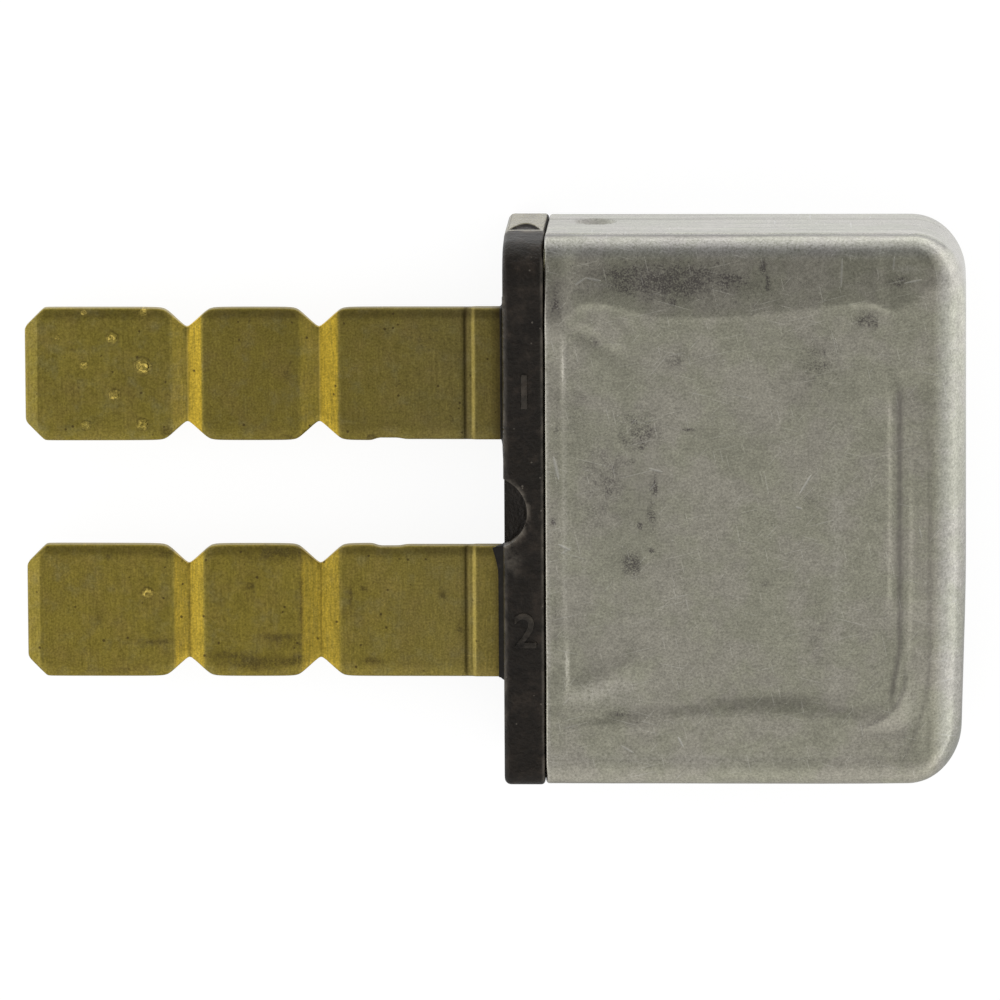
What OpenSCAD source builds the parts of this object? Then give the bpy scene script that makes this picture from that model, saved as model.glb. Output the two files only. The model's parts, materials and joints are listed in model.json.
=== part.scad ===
// Plug-in automotive circuit breaker in a drawn metal can.
// +X runs from the blades to the can's closed end, +Y across the two blades, +Z out of the
// broad face that lies up. The origin is the middle of the base's seating face.

/* [Can] */
// Width of the can across the two blades, outside
can_w = 21.3; // [20:0.1:24]
// Thickness of the can, outside
can_t = 8.4; // [8.2:0.1:10]
// Length of the can from its open end to its closed end
can_len = 16.15; // [16:0.05:22]
// Thickness of the can's wall
can_wall = 0.5; // [0.4:0.05:0.6]
// Radius of the can's four long edges, outside
can_edge_r = 0.7; // [0.65:0.05:1.4]
// Radius of the closed end's corners, seen from the broad side
can_plan_r = 2.1; // [1.2:0.1:3]
// Radius of the closed end's long edges, seen from the narrow side
can_end_r = 1.35; // [1:0.05:2]
// Radius of the outer edge of the can's open end
can_lip_r = 0.15; // [0.05:0.05:0.3]

/* [Pressed panel in the can's broad faces] */
// Depth of the pressed panel
panel_depth = 0.12; // [0.05:0.01:0.2]
// Length of the panel along the can
panel_len = 12.9; // [8:0.1:13.3]
// Width of the panel across the can
panel_w = 15.6; // [10:0.1:18]
// Corner radius of the panel
panel_r = 1.6; // [0.5:0.1:3]
// Distance from the can's open end to the panel
panel_from_mouth = 0.75; // [0.6:0.05:1]

/* [Stakes that hold the can on the base] */
// Distance from the can's open end to the middle of a stake
stake_from_mouth = 1.6; // [1.4:0.1:1.9]
// Diameter of a stake on the can's outside
stake_dia = 1.9; // [1.2:0.1:2.2]
// Depth of a stake
stake_depth = 0.45; // [0.3:0.05:0.5]
// Clearance of the base's pocket around a stake
stake_fit = 0.05; // [0.02:0.01:0.1]

/* [Base] */
// Thickness of the flange that shows between the blades and the can
flange_t = 1.55; // [1.3:0.05:2.2]
// Radius of the flange's four long corners
flange_corner_r = 0.5; // [0.3:0.05:1]
// Radius of the flange's edges round the seating face
flange_edge_r = 0.3; // [0.1:0.05:0.5]
// Radius of the flange's edges next to the can
flange_lip_r = 0.12; // [0.05:0.01:0.3]
// Gap between the flange and the can's open end
mouth_gap = 0.1; // [0.05:0.05:0.3]
// Length of the plug that reaches into the can, past the flange
plug_len = 3.25; // [3:0.05:4]
// Clearance between the plug and the can's inside
plug_fit = 0.05; // [0.02:0.01:0.1]
// Radius of the half-round notch in the flange's front edge
notch_r = 1.41; // [1:0.05:1.8]
// Reach of that notch into the flange
notch_reach = 0.92; // [0.5:0.05:1]
// Depth of that notch below the flange's front face
notch_depth = 1.3; // [0.6:0.1:1.6]
// Width of the scooped mould gate in the flange's narrow end
gate_w = 1.2; // [0.8:0.05:1.2]
// Depth of the scooped mould gate at its deep end
gate_depth = 0.27; // [0.1:0.01:0.4]
// Length over which the mould gate runs out to nothing
gate_len = 2.3; // [1:0.1:4]
// Distance from the flange's front face to the gate's deep end
gate_from_front = 0.6; // [0.4:0.05:2]
// Width of the core-out between the blades
core_w = 2.2; // [1:0.1:2.6]
// Height of the core-out
core_t = 4.6; // [2:0.1:5]
// Depth of the core-out from the plug's inner face
core_depth = 2.6; // [1:0.1:2.8]

/* [Blades] */
// Distance between the middles of the two blades
blade_pitch = 9.3; // [9:0.1:10]
// Width of a blade
blade_w = 5.2; // [4.8:0.1:5.4]
// Thickness of a blade where it plugs in
blade_t = 0.65; // [0.5:0.05:0.75]
// Thickness of the strip that a terminal is stamped from
stock_t = 0.8; // [0.8:0.05:1]
// Length of a blade from the seating face to its tip
blade_len = 18.8; // [16:0.1:22]
// Length of the full-thickness root outside the seating face
root_len = 1.3; // [0.8:0.1:2]
// Distance from the middle of the can to the blades, towards the back
blade_back = 1.5; // [1:0.1:1.8]
// Leg of the chamfer at a tip's corners
tip_chamfer = 0.75; // [0.3:0.05:1.2]
// Length of the bevel on a tip's faces
tip_bevel = 0.55; // [0.3:0.05:1]
// Thickness left at the end of a tip
tip_t = 0.36; // [0.3:0.02:0.5]
// Width taken off a blade's inner edge next to the base
inner_relief = 0.1; // [0.05:0.05:0.3]
// Distance from the seating face to the end of that relief
relief_len = 5.2; // [3:0.1:5.6]

/* [Break-off grooves] */
// Distance from the seating face to the outer groove
outer_groove_at = 12.45; // [11:0.05:14]
// Distance from the seating face to the inner groove
inner_groove_at = 7.3; // [6.8:0.05:9]
// Width of the outer groove
outer_groove_w = 1.2; // [0.8:0.05:1.6]
// Width of the inner groove
inner_groove_w = 1.65; // [1:0.05:1.8]
// Depth of a groove in each face of the blade
groove_depth = 0.19; // [0.1:0.01:0.22]
// Width of the V cut in a blade's edge at a groove
edge_cut_w = 1.75; // [1:0.05:2]
// Depth of that V cut
edge_cut_depth = 0.73; // [0.4:0.01:0.9]

/* [Terminal tails inside the can] */
// Width of a tail, with the shoulders that stop it on the plug
tail_w = 6.6; // [6:0.1:7.2]
// Length of a tail from the plug's inner face
tail_len = 9.4; // [8:0.1:10]
// Corner radius of a tail's end
tail_r = 0.8; // [0.4:0.1:1.4]
// Corner radius of a tail's shoulders
shoulder_r = 0.2; // [0.1:0.05:0.4]
// Clearance of a blade in the base's slot, each side
slot_fit = 0.04; // [0.02:0.01:0.1]

/* [Sealing compound round the blades] */
// Width of the compound past the blade, each side
seal_margin = 0.55; // [0.3:0.05:0.8]
// Depth of the pouring recess in the base
seal_depth = 0.7; // [0.3:0.05:1]
// Height of the compound over the seating face
seal_proud = 0.16; // [0.1:0.02:0.4]

/* [Snap blade and contacts] */
// Distance from the plug's inner face to the middle of the contacts
contact_from_plug = 5.2; // [4.4:0.1:5.6]
// Length of the bimetal blade
bimetal_len = 14; // [12.5:0.1:14.5]
// Width of the bimetal blade
bimetal_w = 7; // [6.2:0.1:7.4]
// Thickness of the bimetal blade
bimetal_t = 0.3; // [0.2:0.05:0.4]
// Length of the bimetal blade past the middle of its weld
bimetal_past_weld = 2.2; // [1.8:0.1:2.6]
// Corner radius of the bimetal blade
bimetal_r = 1; // [0.4:0.1:2]
// Diameter of the snap dish in the bimetal blade
dish_dia = 6; // [4:0.1:6]
// Height of the snap dish
dish_height = 0.35; // [0.2:0.05:0.6]
// Diameter of a contact's head
contact_dia = 3.2; // [2:0.1:3.6]
// Height of a contact's head
contact_height = 0.6; // [0.4:0.05:0.8]
// Diameter of a contact's stem
stem_dia = 1.6; // [1:0.1:1.8]
// Clearance round a stem in its hole
stem_fit = 0.02; // [0.01:0.01:0.05]
// Diameter of a contact's closed rivet head
closed_head_dia = 2.4; // [2:0.1:2.8]
// Height of a contact's closed rivet head
closed_head_height = 0.25; // [0.15:0.05:0.4]
// Gap between the two contacts when they are closed
closed_gap = 0.02; // [0.01:0.01:0.04]
// Diameter of the weld slug that carries the bimetal blade
slug_dia = 2.6; // [2:0.1:3.4]

/* [Insulating liner] */
// Thickness of the liner
liner_t = 0.2; // [0.1:0.05:0.3]
// Width of the liner across the can
liner_w = 15; // [12:0.5:16]
// Clearance between the liner and the can's inside
liner_fit = 0.05; // [0.02:0.01:0.1]
// Radius of the liner's cut edges, outside
liner_edge_r = 0.05; // [0.02:0.01:0.1]

/* [Hidden] */

$fn = 48;
eps = 0.01;
cut_past = 1;

aluminium = [0.55, 0.54, 0.50];
moulding = [0.06, 0.06, 0.06];
brass = [0.52, 0.46, 0.24];
compound = [0.03, 0.03, 0.03];
silver = [0.78, 0.78, 0.76];
steel = [0.62, 0.62, 0.62];
bimetal = [0.70, 0.66, 0.58];
fish_paper = [0.45, 0.44, 0.42];

// Places along X, all from the seating face.
can_x = flange_t + mouth_gap;
can_end_x = can_x + can_len;
plug_end_x = flange_t + plug_len;
contact_x = plug_end_x + contact_from_plug;
stake_x = can_x + stake_from_mouth;
liner_x = plug_end_x + liner_fit;
liner_end_x = can_end_x - can_wall - liner_fit;

// Sections inside the can.
plug_w = can_w - 2 * (can_wall + plug_fit);
plug_t = can_t - 2 * (can_wall + panel_depth + plug_fit);
plug_edge_r = max(can_edge_r - can_wall - plug_fit, 0.15);
liner_out_t = can_t - 2 * (can_wall + panel_depth + liner_fit);

// A round stake is a ball pressed into the narrow wall: the ball's radius and its middle.
stake_ball_r = (pow(stake_dia / 2, 2) + pow(stake_depth, 2)) / (2 * stake_depth);
stake_ball_y = can_w / 2 + stake_ball_r - stake_depth;

// Heights: blades, contacts and bimetal blade are stacked on the terminals' front faces.
blade_z = -blade_back;
tail_top_z = blade_z + stock_t / 2;
fixed_face_z = tail_top_z + contact_height;
moving_face_z = fixed_face_z + closed_gap;
bimetal_z = moving_face_z + contact_height;
bimetal_top_z = bimetal_z + bimetal_t;

// The snap dish is a cap of a ball.
dish_ball_r = (pow(dish_dia / 2, 2) + pow(dish_height, 2)) / (2 * dish_height);
dish_ball_z = bimetal_top_z + dish_height - dish_ball_r;

// The notch is a round bar across the flange's lower edge.
notch_x = notch_reach - notch_r;

// The mould gate is a slim cone laid on the flange's narrow end, so that it runs out to a point.
gate_cone_r = (pow(gate_w / 2, 2) + pow(gate_depth, 2)) / (2 * gate_depth);
gate_axis_r = gate_cone_r - gate_depth;

// Rectangle with four round corners, centred.
module rounded_rect(size, r) {
    square([size.x - 2 * r, size.y], center = true);
    square([size.x, size.y - 2 * r], center = true);
    for (sx = [-1, 1], sy = [-1, 1])
        translate([sx * (size.x / 2 - r), sy * (size.y / 2 - r)])
            circle(r);
}

// Strip from x = near to x = far, with corners of one radius at each end.
module strip(near, far, width, near_r, far_r) {
    translate([near + near_r, -width / 2])
        square([far - far_r - near - near_r, width]);
    for (end = [[near + near_r, near_r], [far - far_r, far_r]]) {
        translate([end.x, 0])
            square([2 * end.y, width - 2 * end.y], center = true);
        for (side = [-1, 1])
            translate([end.x, side * (width / 2 - end.y)])
                circle(end.y);
    }
}

// Bar along +X from x = 0, with a round-cornered section across Y and Z.
module bar(length, width, height, r) {
    rotate([90, 0, 90])
        linear_extrude(length)
            rounded_rect([width, height], r);
}

// Bar from x = near to x = far whose ends are rounded too. size is its width and height, edge_r
// rounds its long edges, near_r its near end, and far_r its far end in plan and in side view.
module round_ended_bar(near, far, size, edge_r, near_r, far_r) {
    intersection() {
        translate([near, 0, 0])
            bar(far - near, size.x, size.y, edge_r);
        translate([0, 0, -size.y])
            linear_extrude(2 * size.y)
                strip(near, far, size.x, near_r, far_r.x);
        rotate([90, 0, 0])
            translate([0, 0, -size.x])
                linear_extrude(2 * size.x)
                    strip(near, far, size.y, near_r, far_r.y);
    }
}

// The can's form from its open end at x = 0, drawn in by an even inset and carried on past that
// end, so that the same module gives its inside.
module can_form(inset, past) {
    difference() {
        round_ended_bar(
            -past, can_len - inset, [can_w - 2 * inset, can_t - 2 * inset],
            max(can_edge_r - inset, 0.15), can_lip_r, [can_plan_r - inset, can_end_r - inset]
        );
        for (side = [-1, 1])
            translate([panel_from_mouth + panel_len / 2, 0, side * (can_t / 2 - inset - panel_depth)])
                mirror([0, 0, side < 0 ? 1 : 0])
                    linear_extrude(cut_past)
                        rounded_rect([panel_len, panel_w], panel_r);
    }
}

// A ball of the stake's form on each narrow side, grown by an even amount.
module stake_balls(grow) {
    for (side = [-1, 1])
        translate([stake_x, side * stake_ball_y, 0])
            sphere(stake_ball_r + grow);
}

module can() {
    color(aluminium)
        difference() {
            union() {
                translate([can_x, 0, 0])
                    difference() {
                        can_form(0, 0);
                        can_form(can_wall, cut_past);
                    }
                intersection() {
                    translate([can_x, 0, 0])
                        can_form(0, 0);
                    stake_balls(can_wall);
                }
            }
            stake_balls(0);
        }
}

// Section of a terminal at the base, with its place on the side that is asked for.
module at_blade(side) {
    translate([0, side * blade_pitch / 2, blade_z])
        mirror([0, side < 0 ? 1 : 0, 0])
            children();
}

// The stock's section between the relieved inner edge and the outer edge, grown evenly.
module stock_bar(from_x, to_x, grow) {
    translate([from_x, -blade_w / 2 + inner_relief - grow, -stock_t / 2 - grow])
        cube([to_x - from_x, blade_w - inner_relief + 2 * grow, stock_t + 2 * grow]);
}

// The compound's outline round one blade.
module seal_bar(from_x, to_x) {
    translate([from_x, inner_relief / 2, 0])
        bar(to_x - from_x, blade_w - inner_relief + 2 * seal_margin, stock_t + 2 * seal_margin, seal_margin);
}

module flange() {
    round_ended_bar(
        0, flange_t, [can_w, can_t], flange_corner_r, flange_edge_r, [flange_lip_r, flange_lip_r]
    );
}

module base() {
    color(moulding)
        difference() {
            union() {
                flange();
                translate([flange_t - eps, 0, 0])
                    bar(plug_len + eps, plug_w, plug_t, plug_edge_r);
            }
            stake_balls(can_wall + stake_fit);
            for (side = [-1, 1])
                at_blade(side) {
                    stock_bar(-cut_past, plug_end_x + cut_past, slot_fit);
                    seal_bar(-cut_past, seal_depth);
                }
            translate([notch_x, 0, can_t / 2 - notch_depth])
                cylinder(r = notch_r, h = notch_depth + cut_past);
            translate([flange_t / 2, can_w / 2 + gate_axis_r, can_t / 2 - gate_from_front - gate_len])
                cylinder(r1 = gate_axis_r, r2 = gate_cone_r, h = gate_len);
            translate([plug_end_x - core_depth, -core_w / 2, -core_t / 2])
                cube([core_depth + cut_past, core_w, core_t]);
        }
}

// One compound ring fills the recess and stands a little over the seating face.
module terminal_seals() {
    color(compound)
        for (side = [-1, 1])
            at_blade(side)
                difference() {
                    seal_bar(-seal_proud, seal_depth);
                    stock_bar(-cut_past, plug_end_x, 0);
                }
}

// Outline of the blade outside the base, with its chamfered tip and the relieved inner edge.
module blade_plan() {
    half_w = blade_w / 2;
    inner_v = -half_w + inner_relief;
    polygon([
        [plug_end_x, inner_v],
        [-relief_len, inner_v],
        [-relief_len - inner_relief, -half_w],
        [-blade_len + tip_chamfer, -half_w],
        [-blade_len, -half_w + tip_chamfer],
        [-blade_len, half_w - tip_chamfer],
        [-blade_len + tip_chamfer, half_w],
        [plug_end_x, half_w]
    ]);
}

// V cuts across both faces and into both edges at one break-off groove.
module groove_cuts(at, width) {
    for (side = [-1, 1])
        mirror([0, 0, side < 0 ? 1 : 0])
            translate([-at, blade_w, blade_t / 2])
                rotate([90, 0, 0])
                    linear_extrude(2 * blade_w)
                        v_cut(width, groove_depth);
    for (side = [-1, 1])
        mirror([0, side < 0 ? 1 : 0, 0])
            translate([-at, blade_w / 2, -stock_t])
                linear_extrude(2 * stock_t)
                    v_cut(edge_cut_w, edge_cut_depth);
}

// Triangle that points down from y = 0, with its flanks carried on above it.
module v_cut(width, depth) {
    over = 0.1;
    half_over = width / 2 * (depth + over) / depth;
    polygon([[0, -depth], [half_over, over], [-half_over, over]]);
}

// Side view of the blade: full stock in the base, stepped to the plug-in thickness, bevelled tip.
module blade_side() {
    step = (stock_t - blade_t) / 2;
    polygon([
        [plug_end_x, -stock_t / 2], [-root_len, -stock_t / 2],
        [-root_len - step, -blade_t / 2], [-blade_len + tip_bevel, -blade_t / 2],
        [-blade_len, -tip_t / 2], [-blade_len, tip_t / 2],
        [-blade_len + tip_bevel, blade_t / 2], [-root_len - step, blade_t / 2],
        [-root_len, stock_t / 2], [plug_end_x, stock_t / 2]
    ]);
}

// Tail inside the can: its shoulders stop on the plug's inner face.
module tail() {
    translate([plug_end_x, 0, -stock_t / 2])
        linear_extrude(stock_t)
            strip(0, tail_len, tail_w, shoulder_r, tail_r);
}

module terminal(side) {
    at_blade(side) {
        difference() {
            intersection() {
                translate([0, 0, -stock_t])
                    linear_extrude(2 * stock_t)
                        blade_plan();
                rotate([90, 0, 0])
                    translate([0, 0, -blade_w])
                        linear_extrude(2 * blade_w)
                            blade_side();
            }
            groove_cuts(outer_groove_at, outer_groove_w);
            groove_cuts(inner_groove_at, inner_groove_w);
        }
        tail();
    }
}

module aux_terminal() {
    color(brass)
        terminal(1);
}

module bat_terminal() {
    color(brass)
        difference() {
            terminal(-1);
            translate([contact_x, -blade_pitch / 2, blade_z - stock_t])
                cylinder(d = stem_dia + 2 * stem_fit, h = 2 * stock_t);
        }
}

// Silver rivet contact: its head from z = 0 down or up, its stem and its closed head.
module rivet_contact(grip) {
    mirror([0, 0, 1])
        cylinder(d = contact_dia, h = contact_height);
    translate([0, 0, -eps])
        cylinder(d = stem_dia, h = grip + closed_head_height + eps);
    translate([0, 0, grip])
        cylinder(d = closed_head_dia, h = closed_head_height);
}

module fixed_contact() {
    color(silver)
        translate([contact_x, -blade_pitch / 2, tail_top_z])
            mirror([0, 0, 1])
                rivet_contact(stock_t);
}

module moving_contact() {
    color(silver)
        translate([contact_x, -blade_pitch / 2, bimetal_z])
            rivet_contact(bimetal_t);
}

// The slug lifts the bimetal blade to the height of the two contacts.
module weld_slug() {
    color(steel)
        translate([contact_x, blade_pitch / 2, tail_top_z])
            cylinder(d = slug_dia, h = bimetal_z - tail_top_z);
}

module bimetal_blade() {
    color(bimetal)
        difference() {
            union() {
                translate([contact_x, blade_pitch / 2 + bimetal_past_weld - bimetal_len / 2, bimetal_z])
                    linear_extrude(bimetal_t)
                        rounded_rect([bimetal_w, bimetal_len], bimetal_r);
                intersection() {
                    translate([contact_x, 0, dish_ball_z])
                        sphere(dish_ball_r, $fn = 96);
                    translate([contact_x, 0, bimetal_z])
                        cylinder(d = dish_dia, h = bimetal_t + dish_height);
                }
            }
            translate([contact_x, 0, dish_ball_z])
                sphere(dish_ball_r - bimetal_t, $fn = 96);
            translate([contact_x, -blade_pitch / 2, bimetal_z - cut_past])
                cylinder(d = stem_dia + 2 * stem_fit, h = bimetal_t + 2 * cut_past);
        }
}

// The liner is one sheet folded into a U round the closed end.
module insulating_liner() {
    fold_r = can_end_r - can_wall - liner_fit;
    color(fish_paper)
        rotate([90, 0, 0])
            translate([0, 0, -liner_w / 2])
                linear_extrude(liner_w)
                    difference() {
                        strip(liner_x, liner_end_x, liner_out_t, liner_edge_r, fold_r);
                        strip(
                            liner_x - cut_past, liner_end_x - liner_t, liner_out_t - 2 * liner_t,
                            liner_edge_r, fold_r - liner_t
                        );
                    }
}

can();
base();
aux_terminal();
bat_terminal();
terminal_seals();
fixed_contact();
weld_slug();
bimetal_blade();
moving_contact();
insulating_liner();
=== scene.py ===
"""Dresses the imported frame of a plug-in circuit breaker with finished pieces and materials."""
import functools
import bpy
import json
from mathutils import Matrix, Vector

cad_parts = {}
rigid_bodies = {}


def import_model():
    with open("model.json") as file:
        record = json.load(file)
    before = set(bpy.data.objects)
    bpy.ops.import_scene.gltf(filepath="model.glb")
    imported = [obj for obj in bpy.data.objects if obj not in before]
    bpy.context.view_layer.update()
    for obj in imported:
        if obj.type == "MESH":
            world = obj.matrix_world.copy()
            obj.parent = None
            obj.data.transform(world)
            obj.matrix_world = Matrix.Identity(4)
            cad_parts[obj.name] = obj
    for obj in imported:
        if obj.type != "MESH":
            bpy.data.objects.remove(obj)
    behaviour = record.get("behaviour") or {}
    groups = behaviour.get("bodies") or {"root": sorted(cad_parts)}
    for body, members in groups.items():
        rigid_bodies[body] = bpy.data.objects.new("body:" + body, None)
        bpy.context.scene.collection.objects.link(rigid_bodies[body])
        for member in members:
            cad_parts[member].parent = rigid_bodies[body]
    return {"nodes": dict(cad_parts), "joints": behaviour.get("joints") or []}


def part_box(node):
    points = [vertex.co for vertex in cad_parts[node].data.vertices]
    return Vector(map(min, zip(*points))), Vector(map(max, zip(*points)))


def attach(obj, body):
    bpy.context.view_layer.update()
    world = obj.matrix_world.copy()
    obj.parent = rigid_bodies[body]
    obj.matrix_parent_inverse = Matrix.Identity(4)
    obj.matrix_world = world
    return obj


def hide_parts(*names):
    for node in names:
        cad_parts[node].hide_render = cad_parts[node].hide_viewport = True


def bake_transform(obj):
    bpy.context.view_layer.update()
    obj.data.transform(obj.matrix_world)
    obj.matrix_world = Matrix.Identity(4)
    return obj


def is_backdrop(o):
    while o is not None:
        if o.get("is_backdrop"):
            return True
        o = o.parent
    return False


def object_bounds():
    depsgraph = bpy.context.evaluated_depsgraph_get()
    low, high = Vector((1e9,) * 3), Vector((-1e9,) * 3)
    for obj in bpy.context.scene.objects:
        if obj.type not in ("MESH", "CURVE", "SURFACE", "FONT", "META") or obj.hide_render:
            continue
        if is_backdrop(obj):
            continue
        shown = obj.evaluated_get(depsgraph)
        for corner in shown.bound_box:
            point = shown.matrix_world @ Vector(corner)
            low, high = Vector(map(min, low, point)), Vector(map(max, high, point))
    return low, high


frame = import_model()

import inspect
import itertools
import json
import math

import bmesh
import bpy
import numpy as np
from bpy.props import FloatProperty, FloatVectorProperty, PointerProperty
from mathutils import Matrix, Vector

bl_info = {
    "name": "Plug-in circuit breaker",
    "version": (1, 0, 0),
    "blender": (4, 5, 0),
    "location": "3D View > Sidebar > Breaker",
    "description": "Builds the finished pieces of a plug-in circuit breaker round its frame",
    "category": "Object",
}

CAD_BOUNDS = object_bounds()
MM = 0.001


# ---------------------------------------------------------------- places taken from the frame

def box_mm(node):
    """Lowest and highest corner of a frame node, in millimetres."""
    low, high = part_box(node)
    return np.array(low) / MM, np.array(high) / MM


CAN_LOW, CAN_HIGH = box_mm("can")
PLUG_END = box_mm("base")[1][0]
AUX_LOW, AUX_HIGH = box_mm("aux_terminal")
SEAL_LOW, SEAL_HIGH = box_mm("terminal_seals")
BIMETAL_LOW, BIMETAL_HIGH = box_mm("bimetal_blade")
MOVING_LOW, MOVING_HIGH = box_mm("moving_contact")

HALF_WIDTH = CAN_HIGH[1]
HALF_THICK = CAN_HIGH[2]
CAN_MOUTH = CAN_LOW[0] - 0.055
CAN_LENGTH = CAN_HIGH[0] - CAN_MOUTH
FLANGE = CAN_MOUTH - 0.03
BLADE_Y = (AUX_LOW[1] + AUX_HIGH[1]) / 2
BLADE_Z = (AUX_LOW[2] + AUX_HIGH[2]) / 2
STOCK_THICK = AUX_HIGH[2] - AUX_LOW[2]
TAIL_WIDTH = AUX_HIGH[1] - AUX_LOW[1]
CONTACT_X = (MOVING_LOW[0] + MOVING_HIGH[0]) / 2
CONTACT_Y = (MOVING_LOW[1] + MOVING_HIGH[1]) / 2
# Radius of the holes for the contacts' stems.
RIVET_HOLE = 0.82


# ---------------------------------------------------------------- settings

def length(name, description, default_mm):
    """A length property, written in millimetres and kept in metres."""
    return FloatProperty(
        name=name, description=description, default=default_mm * MM, unit="LENGTH", precision=5,
        min=0.0
    )


def colour(name, description, default):
    return FloatVectorProperty(
        name=name, description=description, default=default, subtype="COLOR", size=3,
        min=0.0, max=1.0
    )


def amount(name, description, default):
    return FloatProperty(
        name=name, description=description, default=default, subtype="FACTOR", min=0.0, max=1.0
    )


def angle(name, description, default_deg):
    return FloatProperty(
        name=name, description=description, default=math.radians(default_deg), subtype="ANGLE"
    )


class CanSettings(bpy.types.PropertyGroup):
    wall: length("Wall", "Thickness of the can's wall", 0.5)
    edge_radius: length("Long edges", "Radius of the long edges", 0.72)
    upper_radius: length("Upper long edge", "Radius of the front long edge on the +Y side", 0.8)
    plan_radius: length("End corners", "Radius of the closed end's corners in plan", 2.1)
    end_radius: length("End edges", "Radius of the closed end's long edges", 1.35)
    lip_radius: length("Lip", "Radius of the open end's outer edge", 0.13)
    stake_at: length("Stake place", "Distance from the open end to a stake", 1.85)
    stake_diameter: length("Stake diameter", "Diameter of a stake", 1.6)
    stake_depth: length("Stake depth", "Depth of a stake", 0.42)
    panel_depth: length("Panel depth", "Depth of the pressed panel", 0.05)
    crown: length("Crown", "Fall of the front face towards its upper long edge", 0.32)
    tint: colour("Aluminium", "Colour of the dull aluminium", (0.578, 0.557, 0.447))
    roughness: amount("Roughness", "Roughness of the dull aluminium", 0.26)


class BaseSettings(bpy.types.PropertyGroup):
    corner_radius: length("Corners", "Radius of the flange's long corners", 0.5)
    edge_radius: length("Edges", "Radius of the edges round the seating face", 0.25)
    lip_radius: length("Lip", "Radius of the flange's edges next to the can", 0.15)
    draft_from: length("Draft start", "Height of the parting line above mid-thickness", 1.75)
    draft: angle("Draft", "Slope of the upper end from the parting line to the front", 9.0)
    front_radius: length("Front corner", "Radius of the front's long corner above the +Y end", 1.4)
    notch_radius: length("Notch radius", "Radius of the half-round notch", 1.41)
    notch_reach: length("Notch reach", "Reach of the notch into the flange", 0.92)
    notch_depth: length("Notch depth", "Depth of the notch below the front face", 1.3)
    gate_width: length("Gate width", "Width of the scooped mould gate", 1.25)
    gate_depth: length("Gate depth", "Depth of the scooped mould gate", 0.3)
    gate_length: length("Gate length", "Length over which the gate runs out", 2.1)
    numeral_height: length("Numeral height", "Height of the raised terminal numerals", 1.35)
    numeral_relief: length("Numeral relief", "How far the numerals stand out", 0.06)
    tint: colour("Moulding", "Colour of the black moulding", (0.0066, 0.0047, 0.003))
    roughness: amount("Roughness", "Roughness of the black moulding", 0.38)


class BladeSettings(bpy.types.PropertyGroup):
    width: length("Width", "Width of a blade", 5.2)
    thickness: length("Thickness", "Thickness of a blade where it plugs in", 0.65)
    root: length("Root", "Length of the full-thickness root outside the base", 1.27)
    tip_chamfer: length("Tip corners", "Leg of the chamfer at a tip's corners", 0.75)
    tip_bevel: length("Tip bevel", "Length of the bevel on a tip's faces", 0.5)
    tip_thickness: length("Tip thickness", "Thickness left at the end of a tip", 0.36)
    outer_groove: length("Outer groove", "Seating face to the outer groove", 12.48)
    inner_groove: length("Inner groove", "Seating face to the inner groove", 7.34)
    outer_groove_width: length("Outer groove width", "Width of the outer groove", 1.2)
    inner_groove_width: length("Inner groove width", "Width of the inner groove", 1.6)
    groove_depth: length("Groove depth", "Depth of a groove in each face", 0.17)
    edge_cut_width: length("Edge cut width", "Width of the V cut in an edge", 1.62)
    edge_cut_depth: length("Edge cut depth", "Depth of the V cut in an edge", 0.77)
    corner_softness: length("Corner softness", "Rounding of the cuts' roots", 0.1)
    shoulder_softness: length("Shoulder softness", "Rounding of the cuts' shoulders", 0.16)
    inner_relief: length("Relief", "Width taken off the inner edge next to the base", 0.1)
    relief_length: length("Relief length", "Seating face to the end of the relief", 5.2)
    die_roll: length("Die roll", "Width of the rolled-over edge of the front face", 0.44)
    roll_drop: length("Roll drop", "Height lost at the rolled-over edge", 0.11)
    tarnish: colour("Tarnished brass", "Colour of the tarnished faces", (0.375, 0.3, 0.06))
    fresh: colour("Fresh brass", "Colour of the cleaner metal in the grooves", (0.76, 0.53, 0.06))
    roughness: amount("Roughness", "Roughness of the tarnished brass", 0.36)


class SealSettings(bpy.types.PropertyGroup):
    margin: length("Margin", "Width of the compound past the blade", 0.5)
    pool: length("Pool", "Width of the compound past the auxiliary blade's inner edge", 1.2)
    lift: length("Lift", "How far it stands out beyond the frame's ring", 0.04)
    climb_aux: length("Climb, auxiliary", "How far it climbs the auxiliary blade", 0.09)
    climb_bat: length("Climb, battery", "How far it climbs the battery blade", 0.18)
    tint: colour("Compound", "Colour of the sealing compound", (0.005, 0.0045, 0.004))


class StageSettings(bpy.types.PropertyGroup):
    distance: length("Camera distance", "From the camera to its target", 450.0)
    view_width: length("View width", "Width of the view at its target", 38.83)
    elevation: angle("Lean", "Lean of the view towards +Y", 8.5)
    swing: angle("Swing", "Lean of the view towards +X", 2.1)
    roll: angle("Roll", "Turn of the camera about its view", -0.3)


# ---------------------------------------------------------------- mesh helpers

def wobble(t, seed, waves=5):
    """A smooth wandering value of about -1 to 1 along t, the same for the same seed."""
    rng = np.random.default_rng(seed)
    total = np.zeros_like(t, dtype=float)
    for k in range(1, waves + 1):
        total += np.sin(k * t + rng.uniform(0, math.tau)) * rng.uniform(0.4, 1.0) / k
    return total / 1.4


def smoothstep(low, high, t):
    s = np.clip((t - low) / (high - low), 0, 1)
    return s * s * (3 - 2 * s)


def soft_clip(value, width):
    """The value where it is positive, and nothing below, with a round corner between."""
    return 0.5 * (value + np.sqrt(value ** 2 + width ** 2))


def quarter_round(distance, radius):
    """How far a round edge is drawn in at a distance from its end."""
    left = np.clip(radius - distance, 0, radius)
    return radius - np.sqrt(radius ** 2 - left ** 2)


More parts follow.
